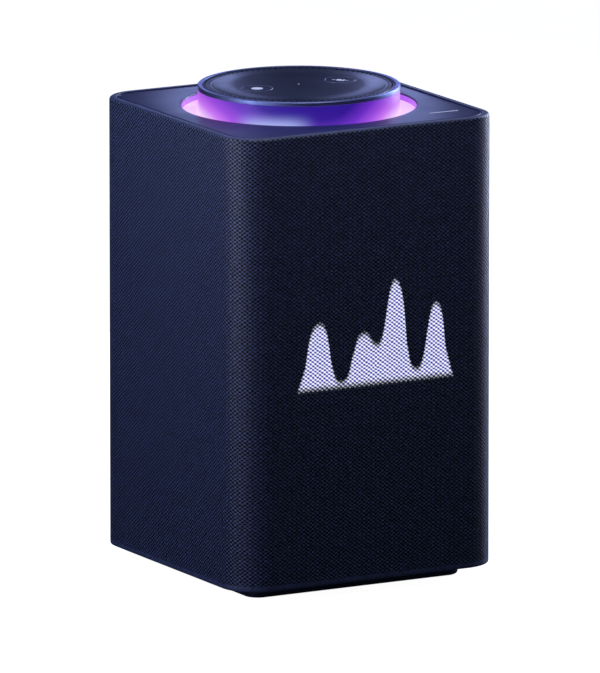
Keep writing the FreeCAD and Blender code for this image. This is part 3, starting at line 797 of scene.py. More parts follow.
# ABS, spark-eroded mould: an even matt grain and soft, broad highlights.
MOULDED_ABS = Finish("moulded_abs_chassis", "#17181D", "#24262E", 0.5, ior=1.53, grain_mm=0.35)
# Same ABS from a polished mould, painted: deep navy, satin, with a faint orange peel.
SATIN_ABS = Finish(
    "satin_painted_abs_plate",
    "#252D5C",
    "#313A6C",
    0.36,
    ior=1.53,
    grain_mm=1.6,
    depth_mm=0.003,
    patch_mm=30.0,
    roughness_swing=0.03,
)
# Painted disc of the dial: finer and darker than the plate, with painted shade, black, in its
# sound holes.
COVER_ABS = PaintWithShadedHoles(
    "satin_painted_abs_disc",
    "#1B2240",
    "#252D52",
    0.34,
    ior=1.53,
    grain_mm=1.2,
    depth_mm=0.003,
    patch_mm=22.0,
    roughness_swing=0.03,
)
# Base: plain moulded ABS, nearly black, that catches one thin highlight.
PLINTH_ABS = Finish("moulded_abs_plinth", "#141A38", "#202850", 0.34, ior=1.53, grain_mm=0.6)
PORT_ABS = Finish("moulded_abs_port_panel", "#101116", "#1B1D26", 0.42, ior=1.53, grain_mm=0.3)
SOCKET_NYLON = Finish("moulded_nylon_socket", "#0B0B0D", "#17171B", 0.38, grain_mm=0.25)
ENCLOSURE_ABS = Finish("moulded_abs_enclosure", "#1B1C20", "#2A2C33", 0.55, ior=1.53, grain_mm=0.5)
GRILLE_ABS = Finish("moulded_abs_grille", "#101218", "#1C1F2A", 0.6, ior=1.53, grain_mm=0.4)
# Acetal: slippery, slightly waxy white gears.
ACETAL = Finish(
    "moulded_acetal_gear", "#D8D6CC", "#ECEAE2", 0.33, ior=1.48, subsurface=0.15, grain_mm=0.5
)
# Nitrile rubber: dull black with a dusty bloom.
NITRILE = Finish("moulded_nitrile_surround", "#121214", "#232326", 0.62, ior=1.52, grain_mm=0.8)
SILICONE = Finish("moulded_silicone_foot", "#1A1B1F", "#2B2C31", 0.7, ior=1.41, grain_mm=0.7)
# Zinc-plated steel: bright, cold grey with streaks from the rolls.
PLATED_STEEL = Finish(
    "zinc_plated_steel", "#A9ADB3", "#C9CDD2", 0.28, metallic=1.0, relief=Relief.DRAWN,
    grain_mm=0.25,
)
BLACKED_STEEL = Finish(
    "black_zinc_steel_screw", "#3A3B40", "#55575E", 0.36, metallic=1.0, grain_mm=0.2
)
# Powder-coated pressed steel: black, pebbly, half gloss.
COATED_STEEL = Finish(
    "powder_coated_steel_basket", "#15161A", "#24262C", 0.45, coat=0.2, grain_mm=0.4, depth_mm=0.03
)
# Ferrite and steel motor: charcoal, slightly grainy.
FERRITE = Finish("pressed_ferrite_motor", "#2A2B2F", "#3E4046", 0.5, grain_mm=0.3, depth_mm=0.02)
# Anodised, fine-turned aluminium: fine rings that stretch highlights across the cut.
TURNED_ALUMINIUM = Finish(
    "anodised_turned_aluminium",
    "#7C88BC",
    "#919DCC",
    0.42,
    metallic=1.0,
    relief=Relief.TURNED,
    grain_mm=0.12,
    depth_mm=0.003,
    roughness_swing=0.03,
)
EXTRUDED_ALUMINIUM = Finish(
    "extruded_aluminium", "#B7BAC0", "#D2D5DA", 0.34, metallic=1.0, relief=Relief.DRAWN,
    grain_mm=0.4,
)
# Pulp paper cone: felted fibres, dry and black.
PULP_PAPER = Finish(
    "pressed_pulp_cone", "#1C1C1E", "#38383B", 0.85, relief=Relief.PULP, grain_mm=0.9,
    depth_mm=0.05,
)
# Phenolic-dipped cotton: stiff amber cloth.
PHENOLIC_COTTON = Finish(
    "phenolic_cotton_spider", "#A5712F", "#C79050", 0.75, relief=Relief.PULP, grain_mm=0.7,
    depth_mm=0.05,
)
# Enamelled copper wire, wound side by side.
ENAMELLED_COPPER = Finish(
    "enamelled_copper_winding", "#A8562A", "#C9753C", 0.3, metallic=1.0, relief=Relief.WOUND,
    grain_mm=0.35, depth_mm=0.04,
)
# Glass-epoxy board under green solder mask, with etched tracks.
SOLDER_MASK = Finish(
    "solder_masked_board", "#0B3A24", "#1D6B40", 0.32, coat=0.3, relief=Relief.ETCHED,
    grain_mm=2.2, depth_mm=0.03,
)
EPOXY_CHIP = Finish("moulded_epoxy_package", "#101012", "#1C1C1F", 0.48, grain_mm=0.2)
FLAT_CABLE = Finish(
    "extruded_pvc_flat_cable", "#B9BBC0", "#DADCE0", 0.45, relief=Relief.DRAWN, grain_mm=0.6
)
# Clear resin over a warm die: small bright lamps.
LED_RESIN = Finish(
    "cast_resin_led", "#E8E8F0", "#FFFFFF", 0.2, subsurface=0.3, glow="#D8DCFF", glow_strength=1.2
)
# Milky polycarbonate that spreads the ring's light evenly.
MILKY_POLYCARBONATE = Finish(
    "milky_polycarbonate_guide",
    "#8A6F98",
    "#A58AB2",
    0.4,
    ior=1.58,
    grain_mm=1.0,
    glow="#F1C4F9",
    glow_strength=0.8,
)
# Screen-printed ink: thin, chalky, a touch uneven, with a faint painted glow that brightens it.
PRINTED_INK_PAINTED_GLOW = Finish(
    "screen_printed_ink_painted_glow", "#D5DEFA", "#F2F5FF", 0.6, grain_mm=0.25, depth_mm=0.004,
    glow="#AEBBE8", glow_strength=0.35,
)
# Wall of the well: a thin sheet whose glow is painted light, the ring's light falling on the wall
# up to the plate.
WELL_WALL_PAINTED_LIGHT = Finish(
    "well_wall_painted_light", "#4A2C70", "#5C3A86", 0.4, ior=1.58, grain_mm=1.0,
    glow="#B45AEE", glow_strength=0.8,
)
# Satin acrylic skirt, with painted light from the ring below and a painted glint.
ACRYLIC_SKIRT_PAINTED_LIGHT = SkirtWithPaintedLight(
    "acrylic_skirt_painted_light",
    "#150A38",
    "#1C0F48",
    0.45,
    ior=1.49,
    grain_mm=2.0,
    depth_mm=0.002,
    glow="#FFFFFF",
    glow_strength=0.85,
    lobes=(
        Lobe(140.0, 100.0, 0.88),
        Lobe(335.0, 78.0, 0.88),
    ),
)
# Knitted cover: painted shade in its holes, a painted highlight on its thread tops and crossings,
# and the display's light through the front.
POLYESTER_KNIT = KnitMesh(
    "warp_knitted_polyester",
    "#252F4B",
    "#38456F",
    0.55,
    ior=1.5,
    specular=0.2,
    coat=1.0,
    coat_roughness=0.5,
    coat_ior=1.8,
    depth_mm=0.25,
    roughness_swing=0.05,
    glow="#FFFFFF",
    glow_strength=1.0,
    outline=(
        (-40.8, 98.6),
        (-36.0, 112.0),
        (-27.9, 132.9),
        (-21.5, 113.0),
        (-16.4, 104.1),
        (-10.0, 117.0),
        (-4.4, 126.3),
        (3.2, 120.3),
        (12.5, 150.2),
        (19.0, 118.0),
        (24.4, 106.7),
        (34.3, 137.3),
        (39.5, 116.0),
        (44.4, 98.6),
    ),
)
# Satin nickel-look paint on the thin ring round each button.
TRIM_PAINT = Finish(
    "satin_painted_trim", "#7C88BE", "#98A3D2", 0.3, ior=1.53, coat=0.3, grain_mm=0.4,
    depth_mm=0.003,
)
# Seamless studio paper: matt white, lit so that only a faint contact shade shows.
STUDIO_PAPER = Finish(
    "seamless_studio_paper", "#F4F4F4", "#FFFFFF", 0.9, grain_mm=0.8, depth_mm=0.02,
    glow="#FFFFFF", glow_strength=0.97,
)

SLOT_FINISHES: dict[str, Finish] = {
    "knit_fabric": POLYESTER_KNIT,
    "plate_plastic": SATIN_ABS,
    "cover_plastic": COVER_ABS,
    "dial_aluminium": TURNED_ALUMINIUM,
    "skirt_plastic": ACRYLIC_SKIRT_PAINTED_LIGHT,
    "light_guide": MILKY_POLYCARBONATE,
    "plinth_plastic": PLINTH_ABS,
    "foot_rubber": SILICONE,
    "chassis_plastic": MOULDED_ABS,
    "grille_plastic": GRILLE_ABS,
    "port_plastic": PORT_ABS,
    "socket_plastic": SOCKET_NYLON,
    "socket_steel": PLATED_STEEL,
    "gear_plastic": ACETAL,
    "circuit_board": SOLDER_MASK,
    "chip_black": EPOXY_CHIP,
    "enclosure_plastic": ENCLOSURE_ABS,
    "surround_rubber": NITRILE,
    "basket_steel": COATED_STEEL,
    "motor_steel": FERRITE,
    "cone_paper": PULP_PAPER,
    "spider_cloth": PHENOLIC_COTTON,
    "coil_copper": ENAMELLED_COPPER,
    "heat_aluminium": EXTRUDED_ALUMINIUM,
    "led_white": LED_RESIN,
    "cable_plastic": FLAT_CABLE,
    "screw_steel": BLACKED_STEEL,
}


# ------------------------------------------------------------------ meshes
def softened(corners: Sequence[tuple[float, float, float]], steps: int = 5) -> Profile:
    """Rounds each corner of a closed profile.

    Args:
        corners: Position across, position up and rounding radius of each corner.
        steps: Segments in each rounded corner.

    Returns:
        The profile's points.
    """
    points: Profile = []
    for index, (x, z, radius) in enumerate(corners):
        here = Vector((x, z))
        if not radius:
            points.append((x, z))
            continue
        before = Vector(corners[index - 1][:2]) - here
        after = Vector(corners[(index + 1) % len(corners)][:2]) - here
        half_angle = before.angle(after) / 2
        reach = radius / math.tan(half_angle)
        start = here + before.normalized() * reach
        end = here + after.normalized() * reach
        for step in range(steps + 1):
            t = step / steps
            spot = start * (1 - t) ** 2 + here * (2 * t * (1 - t)) + end * t**2
            points.append((spot.x, spot.y))
    return points


def circle(radius: float, z: float, count: int = 192, x: float = 0.0, y: float = 0.0) -> Ring:
    """Makes a level ring of points.

    Args:
        radius: The ring's radius.
        z: Its height.
        count: How many points it has.
        x: Its centre across.
        y: Its centre in depth.

    Returns:
        The points, anticlockwise from +X.
    """
    turn = 2 * math.pi / count
    return [
        Vector((x + radius * math.cos(turn * i), y + radius * math.sin(turn * i), z))
        for i in range(count)
    ]


def rounded_square(half: float, radius: float, z: float, arc: int = 14, side: int = 6) -> Ring:
    """Makes a level square ring with round corners, from the middle of the back.

    Args:
        half: Half the width.
        radius: Corner radius.
        z: Height.
        arc: Segments in each corner.
        side: Segments along each half of a side.

    Returns:
        The points, anticlockwise from the middle of the +Y side.
    """
    quarter: list[tuple[float, float]] = []
    straight = half - radius
    quarter += [(-straight * i / side, half) for i in range(side)]
    for i in range(arc + 1):
        angle = math.pi / 2 + math.pi / 2 * i / arc
        quarter.append((-straight + radius * math.cos(angle), straight + radius * math.sin(angle)))
    quarter += [(-half, straight - straight * i / side) for i in range(1, side)]
    ring: Ring = []
    x_axis, y_axis = (1, 0), (0, 1)
    for _ in range(4):
        for a, b in quarter:
            ring.append(Vector((a * x_axis[0] + b * y_axis[0], a * x_axis[1] + b * y_axis[1], z)))
        x_axis, y_axis = (-x_axis[1], x_axis[0]), (-y_axis[1], y_axis[0])
    return ring


@dataclass
class Shape:
    """Points and faces of one piece, in millimetres."""

    points: list[Vector] = field(default_factory=list)
    faces: list[tuple[int, ...]] = field(default_factory=list)
    cloth: list[list[tuple[float, float]]] = field(default_factory=list)

    def loft(
        self,
        rings: Sequence[Ring],
        closed: bool = True,
        ends: bool = False,
        across: Sequence[float] = (),
        along: Sequence[float] = (),
    ) -> Shape:
        """Joins level rings of the same number of points by faces.

        Args:
            rings: The rings in order.
            closed: Whether the last ring joins the first.
            ends: Whether the first and last ring are filled.
            across: Cloth coordinate of each point of a ring and of its return.
            along: Cloth coordinate of each ring and of its return.

        Returns:
            The shape itself.
        """
        base, count, rows = len(self.points), len(rings[0]), len(rings)
        for ring in rings:
            self.points += ring
        for row in range(rows if closed else rows - 1):
            upper = (row + 1) % rows
            for i in range(count):
                j = (i + 1) % count
                self.faces.append(
                    (
                        base + row * count + i,
                        base + row * count + j,
                        base + upper * count + j,
                        base + upper * count + i,
                    )
                )
                if across:
                    u0, u1, v0, v1 = across[i], across[i + 1], along[row], along[row + 1]
                    self.cloth.append([(u0, v0), (u1, v0), (u1, v1), (u0, v1)])
        if ends:
            self.faces.append(tuple(reversed(range(base, base + count))))
            self.faces.append(tuple(range(base + (rows - 1) * count, base + rows * count)))
        return self

    def slab(self, outline: Sequence[tuple[float, float]], low: float, high: float) -> Shape:
        """Adds a flat plate with the given outline between two heights."""
        rings = [[Vector((x, y, z)) for x, y in outline] for z in (low, high)]
        return self.loft(rings, closed=False, ends=True)

    def made(self, name: str) -> bpy.types.Object:
        """Makes the object, with outward faces and creases only at real edges.

        Args:
            name: The piece's name.

        Returns:
            The new object.
        """
        mesh = bpy.data.meshes.new(name)
        mesh.from_pydata([p * MM for p in self.points], [], self.faces)
        if self.cloth:
            layer = mesh.uv_layers.new(name="cloth")
            flat = [value * MM for corner in self.cloth for pair in corner for value in pair]
            layer.data.foreach_set("uv", flat)
        mesh.validate()
        obj = bpy.data.objects.new(name, mesh)
        bpy.context.scene.collection.objects.link(obj)
        bpy.context.view_layer.objects.active = obj
        obj.select_set(True)
        bpy.ops.object.mode_set(mode="EDIT")
        bpy.ops.mesh.select_all(action="SELECT")
        bpy.ops.mesh.normals_make_consistent(inside=False)
        bpy.ops.object.mode_set(mode="OBJECT")
        obj.select_set(False)
        creased(obj)
        return obj


def creased(obj: bpy.types.Object) -> None:
    """Shades a piece smooth except across its real edges."""
    obj.data.shade_smooth()
    obj.data.set_sharp_from_angle(angle=SHARP_ANGLE)


def cut(obj: bpy.types.Object, tools: Sequence[Shape]) -> None:
    """Cuts shapes out of a piece.

    Args:
        obj: The piece that is cut.
        tools: The shapes that are taken away.
    """
    for tool in tools:
        cutter = tool.made(obj.name + "_cutter")
        change = obj.modifiers.new("cut", "BOOLEAN")
        change.operation = "DIFFERENCE"
        change.solver = "EXACT"
        change.object = cutter
        graph = bpy.context.evaluated_depsgraph_get()
        result = bpy.data.meshes.new_from_object(obj.evaluated_get(graph))
        obj.modifiers.clear()
        obj.data = result
        bpy.data.objects.remove(cutter)
    creased(obj)


def lathe(
    corners: Sequence[tuple[float, float, float]], x: float = 0.0, count: int = 192
) -> Shape:
    """Turns a rounded closed profile round an upright axis.

    Args:
        corners: Radius, height and rounding of each corner.
        x: The axis's place across.
        count: Segments round the axis.

    Returns:
        The turned shape.
    """
    return Shape().loft([circle(r, z, count, x) for r, z in softened(corners)])


def top_of(node: str) -> float:
    """Gives a CAD node's top in millimetres."""
    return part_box(node)[1].z / MM


def bottom_of(node: str) -> float:
    """Gives a CAD node's underside in millimetres."""
    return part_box(node)[0].z / MM


class Finisher:
    """Builds each material once and dresses pieces in it."""

    def __init__(self) -> None:
        """Starts with no materials."""
        self.built: dict[str, bpy.types.Material] = {}

    def material(self, finish: Finish) -> bpy.types.Material:
        """Gives a finish's material, built when first asked for."""
        if finish.name not in self.built:
            self.built[finish.name] = finish.build()
        return self.built[finish.name]

    def settle(
        self, obj: bpy.types.Object, body: str, slot: str, nodes: Sequence[str] = (),
        finish: Finish | None = None,
    ) -> bpy.types.Object:
        """Dresses a piece in its slot's finish, ties it to its CAD body and hides the CAD nodes
        that it stands for.

        Args:
            obj: The piece.
            body: CAD body that it moves with.
            slot: Material slot that it takes its finish from.
            nodes: CAD nodes that it stands for.
            finish: Its own finish, where it differs from the slot's.

        Returns:
            The piece.
        """
        obj.data.materials.clear()
        obj.data.materials.append(self.material(finish or SLOT_FINISHES[slot]))
        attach(obj, body)
        if nodes:
            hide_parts(*nodes)
        LOG.info("%s: %d faces, rides on %s", obj.name, len(obj.data.polygons), body)
        return obj

    def dress_nodes(self, nodes: dict[str, bpy.types.Object]) -> None:
        """Gives every CAD node the finish of its slot and smooth round faces."""
        for name, node in nodes.items():
            slot = node.material_slots[0].material.name.split(".")[0]
            node.material_slots[0].material = self.material(SLOT_FINISHES[slot])
            creased(node)
            LOG.info("CAD node %s dressed as %s", name, SLOT_FINISHES[slot].name)


# ------------------------------------------------------------------ sub-assemblies
@dataclass
class FabricSleeve:
    """Knitted cover, rolled in over the grille at the top and the bottom."""

    finisher: Finisher
    corner_r: float = 17.7
    thickness: float = 1.2
    top_roll: float = 1.9
    bottom_roll: float = 1.15
    top_mouth_half: float = 66.8
    bottom_mouth_half: float = 65.0
    port_width: float = 66.4
    port_height: float = 24.4
    port_corner_r: float = 5.2
    window_cut: tuple[float, float] = (-6.0, 4.0)

    def build(self) -> None:
        """Builds the sleeve with its cloth coordinates and its port window."""
        low, high = (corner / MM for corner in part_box("fabric_cover"))
        half = high.x
        lip = half - self.top_mouth_half
        foot = half - self.bottom_mouth_half
        profile = softened(
            [
                (0.0, high.z, self.top_roll),
                (0.0, low.z, self.bottom_roll),
                (foot, low.z, 0.4),
                (foot, low.z + self.thickness, 0.2),
                (self.thickness, low.z + self.thickness, 0.3),
                (self.thickness, high.z - self.thickness, 0.6),
                (lip, high.z - self.thickness, 0.3),
                (lip, high.z, 0.6),
            ],
            steps=6,
        )
        rings = [rounded_square(half - inset, self.corner_r - inset, z) for inset, z in profile]
        outer = rounded_square(half, self.corner_r, 0.0)
        across = [0.0]
        for here, there in zip(outer, outer[1:] + outer[:1]):
            across.append(across[-1] + (there - here).length)
        scale = POLYESTER_KNIT.perimeter_mm / across[-1]
        across = [value * scale for value in across]
        along = [high.z]
        for (x0, z0), (x1, z1) in zip(profile, profile[1:] + profile[:1]):
            along.append(along[-1] - math.hypot(x1 - x0, z1 - z0))
        cover = Shape().loft(rings, across=across, along=along).made("fabric_sleeve")
        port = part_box("port_panel")
        middle = (port[0].z + port[1].z) / 2 / MM
        cut(cover, [self.port_window(high.y, middle)])
        self.finisher.settle(cover, "housing", "knit_fabric", ["fabric_cover"])

    def port_window(self, back: float, middle: float) -> Shape:
        """Makes the block that cuts the window for the sockets.

        Args:
            back: Where the back face is.
            middle: Height of the window's middle.

        Returns:
            The cutting shape.
        """
        x = self.port_width / 2 - self.port_corner_r
        z = self.port_height / 2 - self.port_corner_r
        outline = []
        for quarter, (sx, sz) in enumerate(((1, 1), (-1, 1), (-1, -1), (1, -1))):
            for step in range(ARC + 1):
                angle = math.pi / 2 * (quarter + step / ARC)
                outline.append(
                    (
                        sx * x + self.port_corner_r * math.cos(angle),
                        middle + sz * z + self.port_corner_r * math.sin(angle),
                    )
                )
        rings = [
            [Vector((a, back + reach, b)) for a, b in outline] for reach in self.window_cut
        ]
        return Shape().loft(rings, closed=False, ends=True)


@dataclass
class TopPlate:
    """Painted plate round the dial, with the well's wall and a printed line."""

    finisher: Finisher
    corner_r: float = 13.5
    thickness: float = 2.8
    edge_r: float = 0.45
    well_r: float = 55.5
    well_edge_r: float = 0.5
    wall: float = 1.5
    wall_drop: float = 0.9
    rim_width: float = 4.0
    skirt_wall: float = 2.0
    line_x: tuple[float, float] = (42.0, 57.5)
    line_y: float = -50.5
    line_width: float = 1.1

    def build(self) -> None:
        """Builds the plate and the printed line on it."""
        low, high = (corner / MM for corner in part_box("top_cover"))
        half, top = high.x, high.z
        under = top - self.thickness
        board_top = top_of("ring_led_board") - self.wall_drop
        rings = []
        e = self.edge_r
        for step in range(6):
            angle = math.pi / 2 * step / 5
            inset = e * (1 - math.sin(angle))
            rings.append(self.square(half - inset, top - e + e * math.cos(angle)))
        rings.reverse()
        rings += [self.square(half, low.z), self.square(half - self.skirt_wall, low.z)]
        rings += [self.square(half - self.skirt_wall, under)]
        outer = self.well_r + self.wall
        rings += [self.round(outer, under), self.round(outer, board_top)]
        rings += [self.round(self.well_r, board_top)]
        w = self.well_edge_r
        for step in range(7):
            angle = math.pi / 2 * step / 6
            rings.append(
                self.round(self.well_r + w * (1 - math.cos(angle)), top - w + w * math.sin(angle))
            )
        rings.append(self.round(self.well_r + self.rim_width, top))
        plate = Shape().loft(rings).made("top_plate")
        self.finisher.settle(plate, "housing", "plate_plastic", ["top_cover"])
        self.print_line(top)

    def square(self, half: float, z: float) -> Ring:
        """Makes a ring that follows the plate's edge."""
        radius = self.corner_r - (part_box("top_cover")[1].x / MM - half)
        return rounded_square(half, radius, z, side=16)

    def round(self, radius: float, z: float) -> Ring:
        """Makes a round ring with the same number of points as the square ones."""
        return [
            Vector((p.x, p.y, 0.0)).normalized() * radius + Vector((0.0, 0.0, z))
            for p in rounded_square(self.corner_r * 2, self.corner_r, 0.0, side=16)
        ]

    def print_line(self, top: float) -> None:
        """Prints a plain line where a maker would put a name.

        Args:
            top: Height of the plate's face.
        """
        (x0, x1), r = self.line_x, self.line_width / 2
        outline = []
        for x, start in ((x1 - r, -90), (x0 + r, 90)):
            for step in range(ARC + 1):
                angle = math.radians(start + 180 * step / ARC)
                outline.append((x + r * math.cos(angle), self.line_y + r * math.sin(angle)))
        line = Shape().slab(outline, top, top + INK_T).made("plate_printed_line")
        self.finisher.settle(line, "housing", "plate_plastic", finish=PRINTED_INK_PAINTED_GLOW)


@dataclass
class LightRing:
    """Milky ring at the bottom of the well."""

    finisher: Finisher
    inner_r: float = 48.0
    outer_r: float = 55.3
    rib: float = 1.0
    plate: float = 1.5
    film_r: float = 55.46
    film_top: float = 221.2
    film_lap: float = 0.2

    def build(self) -> None:
        """Builds the ring as a downward channel over its LEDs."""
        low, top = bottom_of("light_ring_guide"), top_of("light_ring_guide")
        under = top - self.plate
        ring = lathe(
            [
                (self.inner_r, low, 0.0),
                (self.inner_r + self.rib, low, 0.0),
                (self.inner_r + self.rib, under, 0.3),
                (self.outer_r - self.rib, under, 0.3),
                (self.outer_r - self.rib, low, 0.0),
                (self.outer_r, low, 0.0),
                (self.outer_r, top, 0.25),
                (self.inner_r, top, 0.25),
            ]
        ).made("light_ring")
        self.finisher.settle(ring, "housing", "light_guide", ["light_ring_guide"])
        # A thin sheet on the well's wall, glowing with painted light from the ring.
        painted_light_sheet = lathe(
            [
                (self.outer_r, top - self.film_lap, 0.0),
                (self.film_r, top - self.film_lap, 0.0),
                (self.film_r, self.film_top, 0.05),
                (self.outer_r, self.film_top, 0.05),
            ]
        ).made("painted_light_well_sheet")
        self.finisher.settle(painted_light_sheet, "housing", "light_guide", finish=WELL_WALL_PAINTED_LIGHT)


@dataclass
class Dial:
    """The turning bezel and the skirt under it, which carries painted light."""

    finisher: Finisher
    bezel_r: float = 47.7
    bezel_inner_r: float = 45.5
    chamfer: float = 0.3
    skirt_r: float = 47.6
    skirt_inner_r: float = 45.45
    tongue: tuple[float, float, float] = (46.2, 46.9, 1.0)

    def build(self) -> None:
        """Builds both rings."""
        low, top = bottom_of("dial_skirt"), top_of("dial_bezel")
        seam = top_of("dial_skirt")
        inner, outer, depth = self.tongue
        bezel = lathe(
            [
                (self.bezel_inner_r, seam, 0.1),
                (inner, seam, 0.0),
                (inner, seam - depth, 0.1),
                (outer, seam - depth, 0.1),
                (outer, seam, 0.0),
                (self.bezel_r, seam, 0.15),
                (self.bezel_r, top - self.chamfer, 0.12),
                (self.bezel_r - self.chamfer, top, 0.12),
                (self.bezel_inner_r, top, 0.2),
            ],
            count=288,
        ).made("bezel")
        self.finisher.settle(bezel, "volume_dial", "dial_aluminium", ["dial_bezel"])
        skirt = lathe(
            [
                (self.skirt_inner_r, low, 0.1),
                (self.skirt_r, low, 0.2),
                (self.skirt_r, seam, 0.2),
                (outer, seam, 0.0),
                (outer, seam - depth, 0.0),
                (inner, seam - depth, 0.0),
                (inner, seam, 0.0),
                (self.skirt_inner_r, seam, 0.1),
            ],
            count=288,
        ).made("painted_light_skirt")
        self.finisher.settle(skirt, "volume_dial", "skirt_plastic", ["dial_skirt"])


@dataclass
class MicDisc:
    """Fixed disc inside the bezel: a shallow band of sound holes and two buttons."""

    finisher: Finisher
    outer_r: float = 44.98
    band_inner_r: float = 40.6
    band_outer_r: float = 44.2
    band_depth: float = 0.2
    thickness: float = 2.1
    leg_r: float = 43.3
    holes: int = 90
    hole_r: float = 42.5
    hole_width: float = 1.6
    hole_length: float = 1.4
    hole_depth: float = 0.9
    button_x: float = 22.4
    button_r: float = 7.0
    gap: float = 0.3
    trim_width: float = 0.36
    trim_height: float = 0.08
    dot_r: float = 2.8
    mark_scale: float = 1.15
    stroke_width: float = 0.52
    centre_r: float = 0.45
    dish: float = 0.07
    mark_t: float = 0.05
    bar_lift: float = 0.01
    well_cut: tuple[float, float] = (-6.0, 3.0)

    def build(self) -> None:
        """Builds the disc, its buttons, their trims and the printed marks."""
        top = top_of("assistant_button")
        disc = self.disc_shape(top).made("mic_disc")
        wells = [
            Shape().loft(
                [circle(self.button_r + self.gap, top + reach, 64, side * self.button_x)
                 for reach in self.well_cut],
                closed=False,
                ends=True,
            )
            for side in (-1, 1)
        ]
        cut(disc, wells)
        self.finisher.settle(disc, "housing", "cover_plastic", ["mic_cover"])
        for side, name, body in (
            (-1, "assistant_button", "assistant_push"),
            (1, "mute_button", "mute_push"),
        ):
            self.button(side * self.button_x, top, name, body)
            self.trim(side * self.button_x, top, name)
        self.marks(top)

    def disc_shape(self, top: float) -> Shape:
        """Makes the disc with its band of sound holes.

        Args:
            top: Height of the disc's face.

        Returns:
            The shape.
        """
        band = top - self.band_depth
        under = top - self.thickness
        leg = bottom_of("mic_cover")
        lip = top_of("mic_cover")
        radial = (self.hole_r - self.hole_length / 2, self.hole_r + self.hole_length / 2)
        profile = [
            (20.0, under), (self.leg_r, under), (self.leg_r, leg), (self.outer_r, leg),
            (self.outer_r, lip - 0.12), (self.outer_r - 0.12, lip),
            (self.band_outer_r + 0.3, lip), (self.band_outer_r + 0.16, lip - 0.08),
            (self.band_outer_r - 0.12, band + 0.08), (self.band_outer_r - 0.25, band),
            (radial[1], band), (radial[0], band), (self.band_inner_r + 0.35, band),
            (self.band_inner_r + 0.22, band + 0.08), (self.band_inner_r + 0.06, top - 0.1),
            (self.band_inner_r - 0.12, top), (30.0, top),
        ]
        strip = profile.index((radial[1], band))
        step = 2 * math.pi / self.holes
        opening = self.hole_width / self.hole_r
        rest = (step - opening) / 3
        turns = [0.0, opening, opening + rest, opening + 2 * rest]
        angles = [step * k + turn - opening / 2 for k in range(self.holes) for turn in turns]
        rings = [
            [Vector((r * math.cos(a), r * math.sin(a), z)) for a in angles] for r, z in profile
        ]
        shape = Shape().loft(rings, closed=False, ends=True)
        count = len(angles)
        for k in range(self.holes):
            face = shape.faces[strip * count + 4 * k]
            floor = len(shape.points)
            shape.points += [shape.points[i] - Vector((0, 0, self.hole_depth)) for i in face]
            ring = [floor + i for i in range(4)]
            shape.faces[strip * count + 4 * k] = tuple(ring)
            for i in range(4):
                j = (i + 1) % 4
                shape.faces.append((face[i], face[j], ring[j], ring[i]))
        return shape

    def button(self, x: float, top: float, name: str, body: str) -> None:
        """Makes one push button with a shallow finger dish.

        Args:
            x: Its place across.
            top: Height of its face.
            name: The CAD node that it stands for.
            body: The body that it moves with.
        """
        low = bottom_of(name)
        rings = [
            (1.5, low), (1.5, low + 1.0), (self.button_r + 1, low + 1.05),
            (self.button_r + 1, low + 1.85), (self.button_r, low + 1.9),
            (self.button_r, top - 0.32), (self.button_r - 0.05, top - 0.16),
            (self.button_r - 0.16, top - 0.04), (self.button_r - 0.32, top),
            (self.button_r - 0.9, top - 0.01), (self.button_r * 0.6, top - 0.05),
            (0.6, top - self.dish),
        ]
        cap = Shape().loft([circle(r, z, 96, x) for r, z in rings], closed=False, ends=True)
        self.finisher.settle(cap.made(name + "_cap"), body, "cover_plastic", [name])

    def trim(self, x: float, top: float, name: str) -> None:
        """Makes the thin raised ring round a button."""
        r = self.button_r + self.gap
        w = self.trim_width
        ring = lathe(
            [(r, top - 0.1, 0.0), (r + w, top - 0.1, 0.0), (r + w, top + self.trim_height, 0.1),
             (r, top + self.trim_height, 0.1)],
            x=x,
            count=128,
        ).made(name + "_trim")
        self.finisher.settle(ring, "housing", "cover_plastic", finish=TRIM_PAINT)

    def marks(self, top: float) -> None:
        """Prints the plain marks: a dot, a muted microphone and the centre point."""
        level = top - self.dish
        ring = [(p.x, p.y) for p in circle(self.dot_r, 0, 40, -self.button_x)]
        dot = Shape().slab(ring, level, level + self.mark_t)
        self.finisher.settle(dot.made("assistant_mark"), "assistant_push", "cover_plastic",
                             finish=PRINTED_INK_PAINTED_GLOW)
        centre = Shape().slab([(p.x, p.y) for p in circle(self.centre_r, 0, 24)], top, top + INK_T)
        self.finisher.settle(centre.made("disc_centre_mark"), "housing", "cover_plastic",
                             finish=PRINTED_INK_PAINTED_GLOW)
        x, size, pen = self.button_x, self.mark_scale, self.stroke_width
        mark = Shape()
        capsule = [
            (0.85 * math.cos(math.radians(a)), 0.6 + 0.7 * lift + 0.85 * math.sin(math.radians(a)))
            for start, lift in ((0, 1), (180, -1))
            for a in range(start, start + 181, 20)
        ]
        mark.slab([(x + size * a, size * b) for a, b in capsule], level, level + self.mark_t)
        cradle = [
            (x + size * 1.75 * math.cos(math.radians(a)),
             size * (0.35 + 1.9 * math.sin(math.radians(a))))
            for a in range(180, 361, 15)
        ]
        self.stroke(mark, cradle, pen, level)
        self.stroke(mark, [(x, -1.5 * size), (x, -2.6 * size)], pen, level)
        reach = 2.5 * size
        self.stroke(mark, [(x - reach, reach), (x + reach, -reach)], pen, level + self.bar_lift)
        self.finisher.settle(mark.made("mute_mark"), "mute_push", "cover_plastic",
                             finish=PRINTED_INK_PAINTED_GLOW)

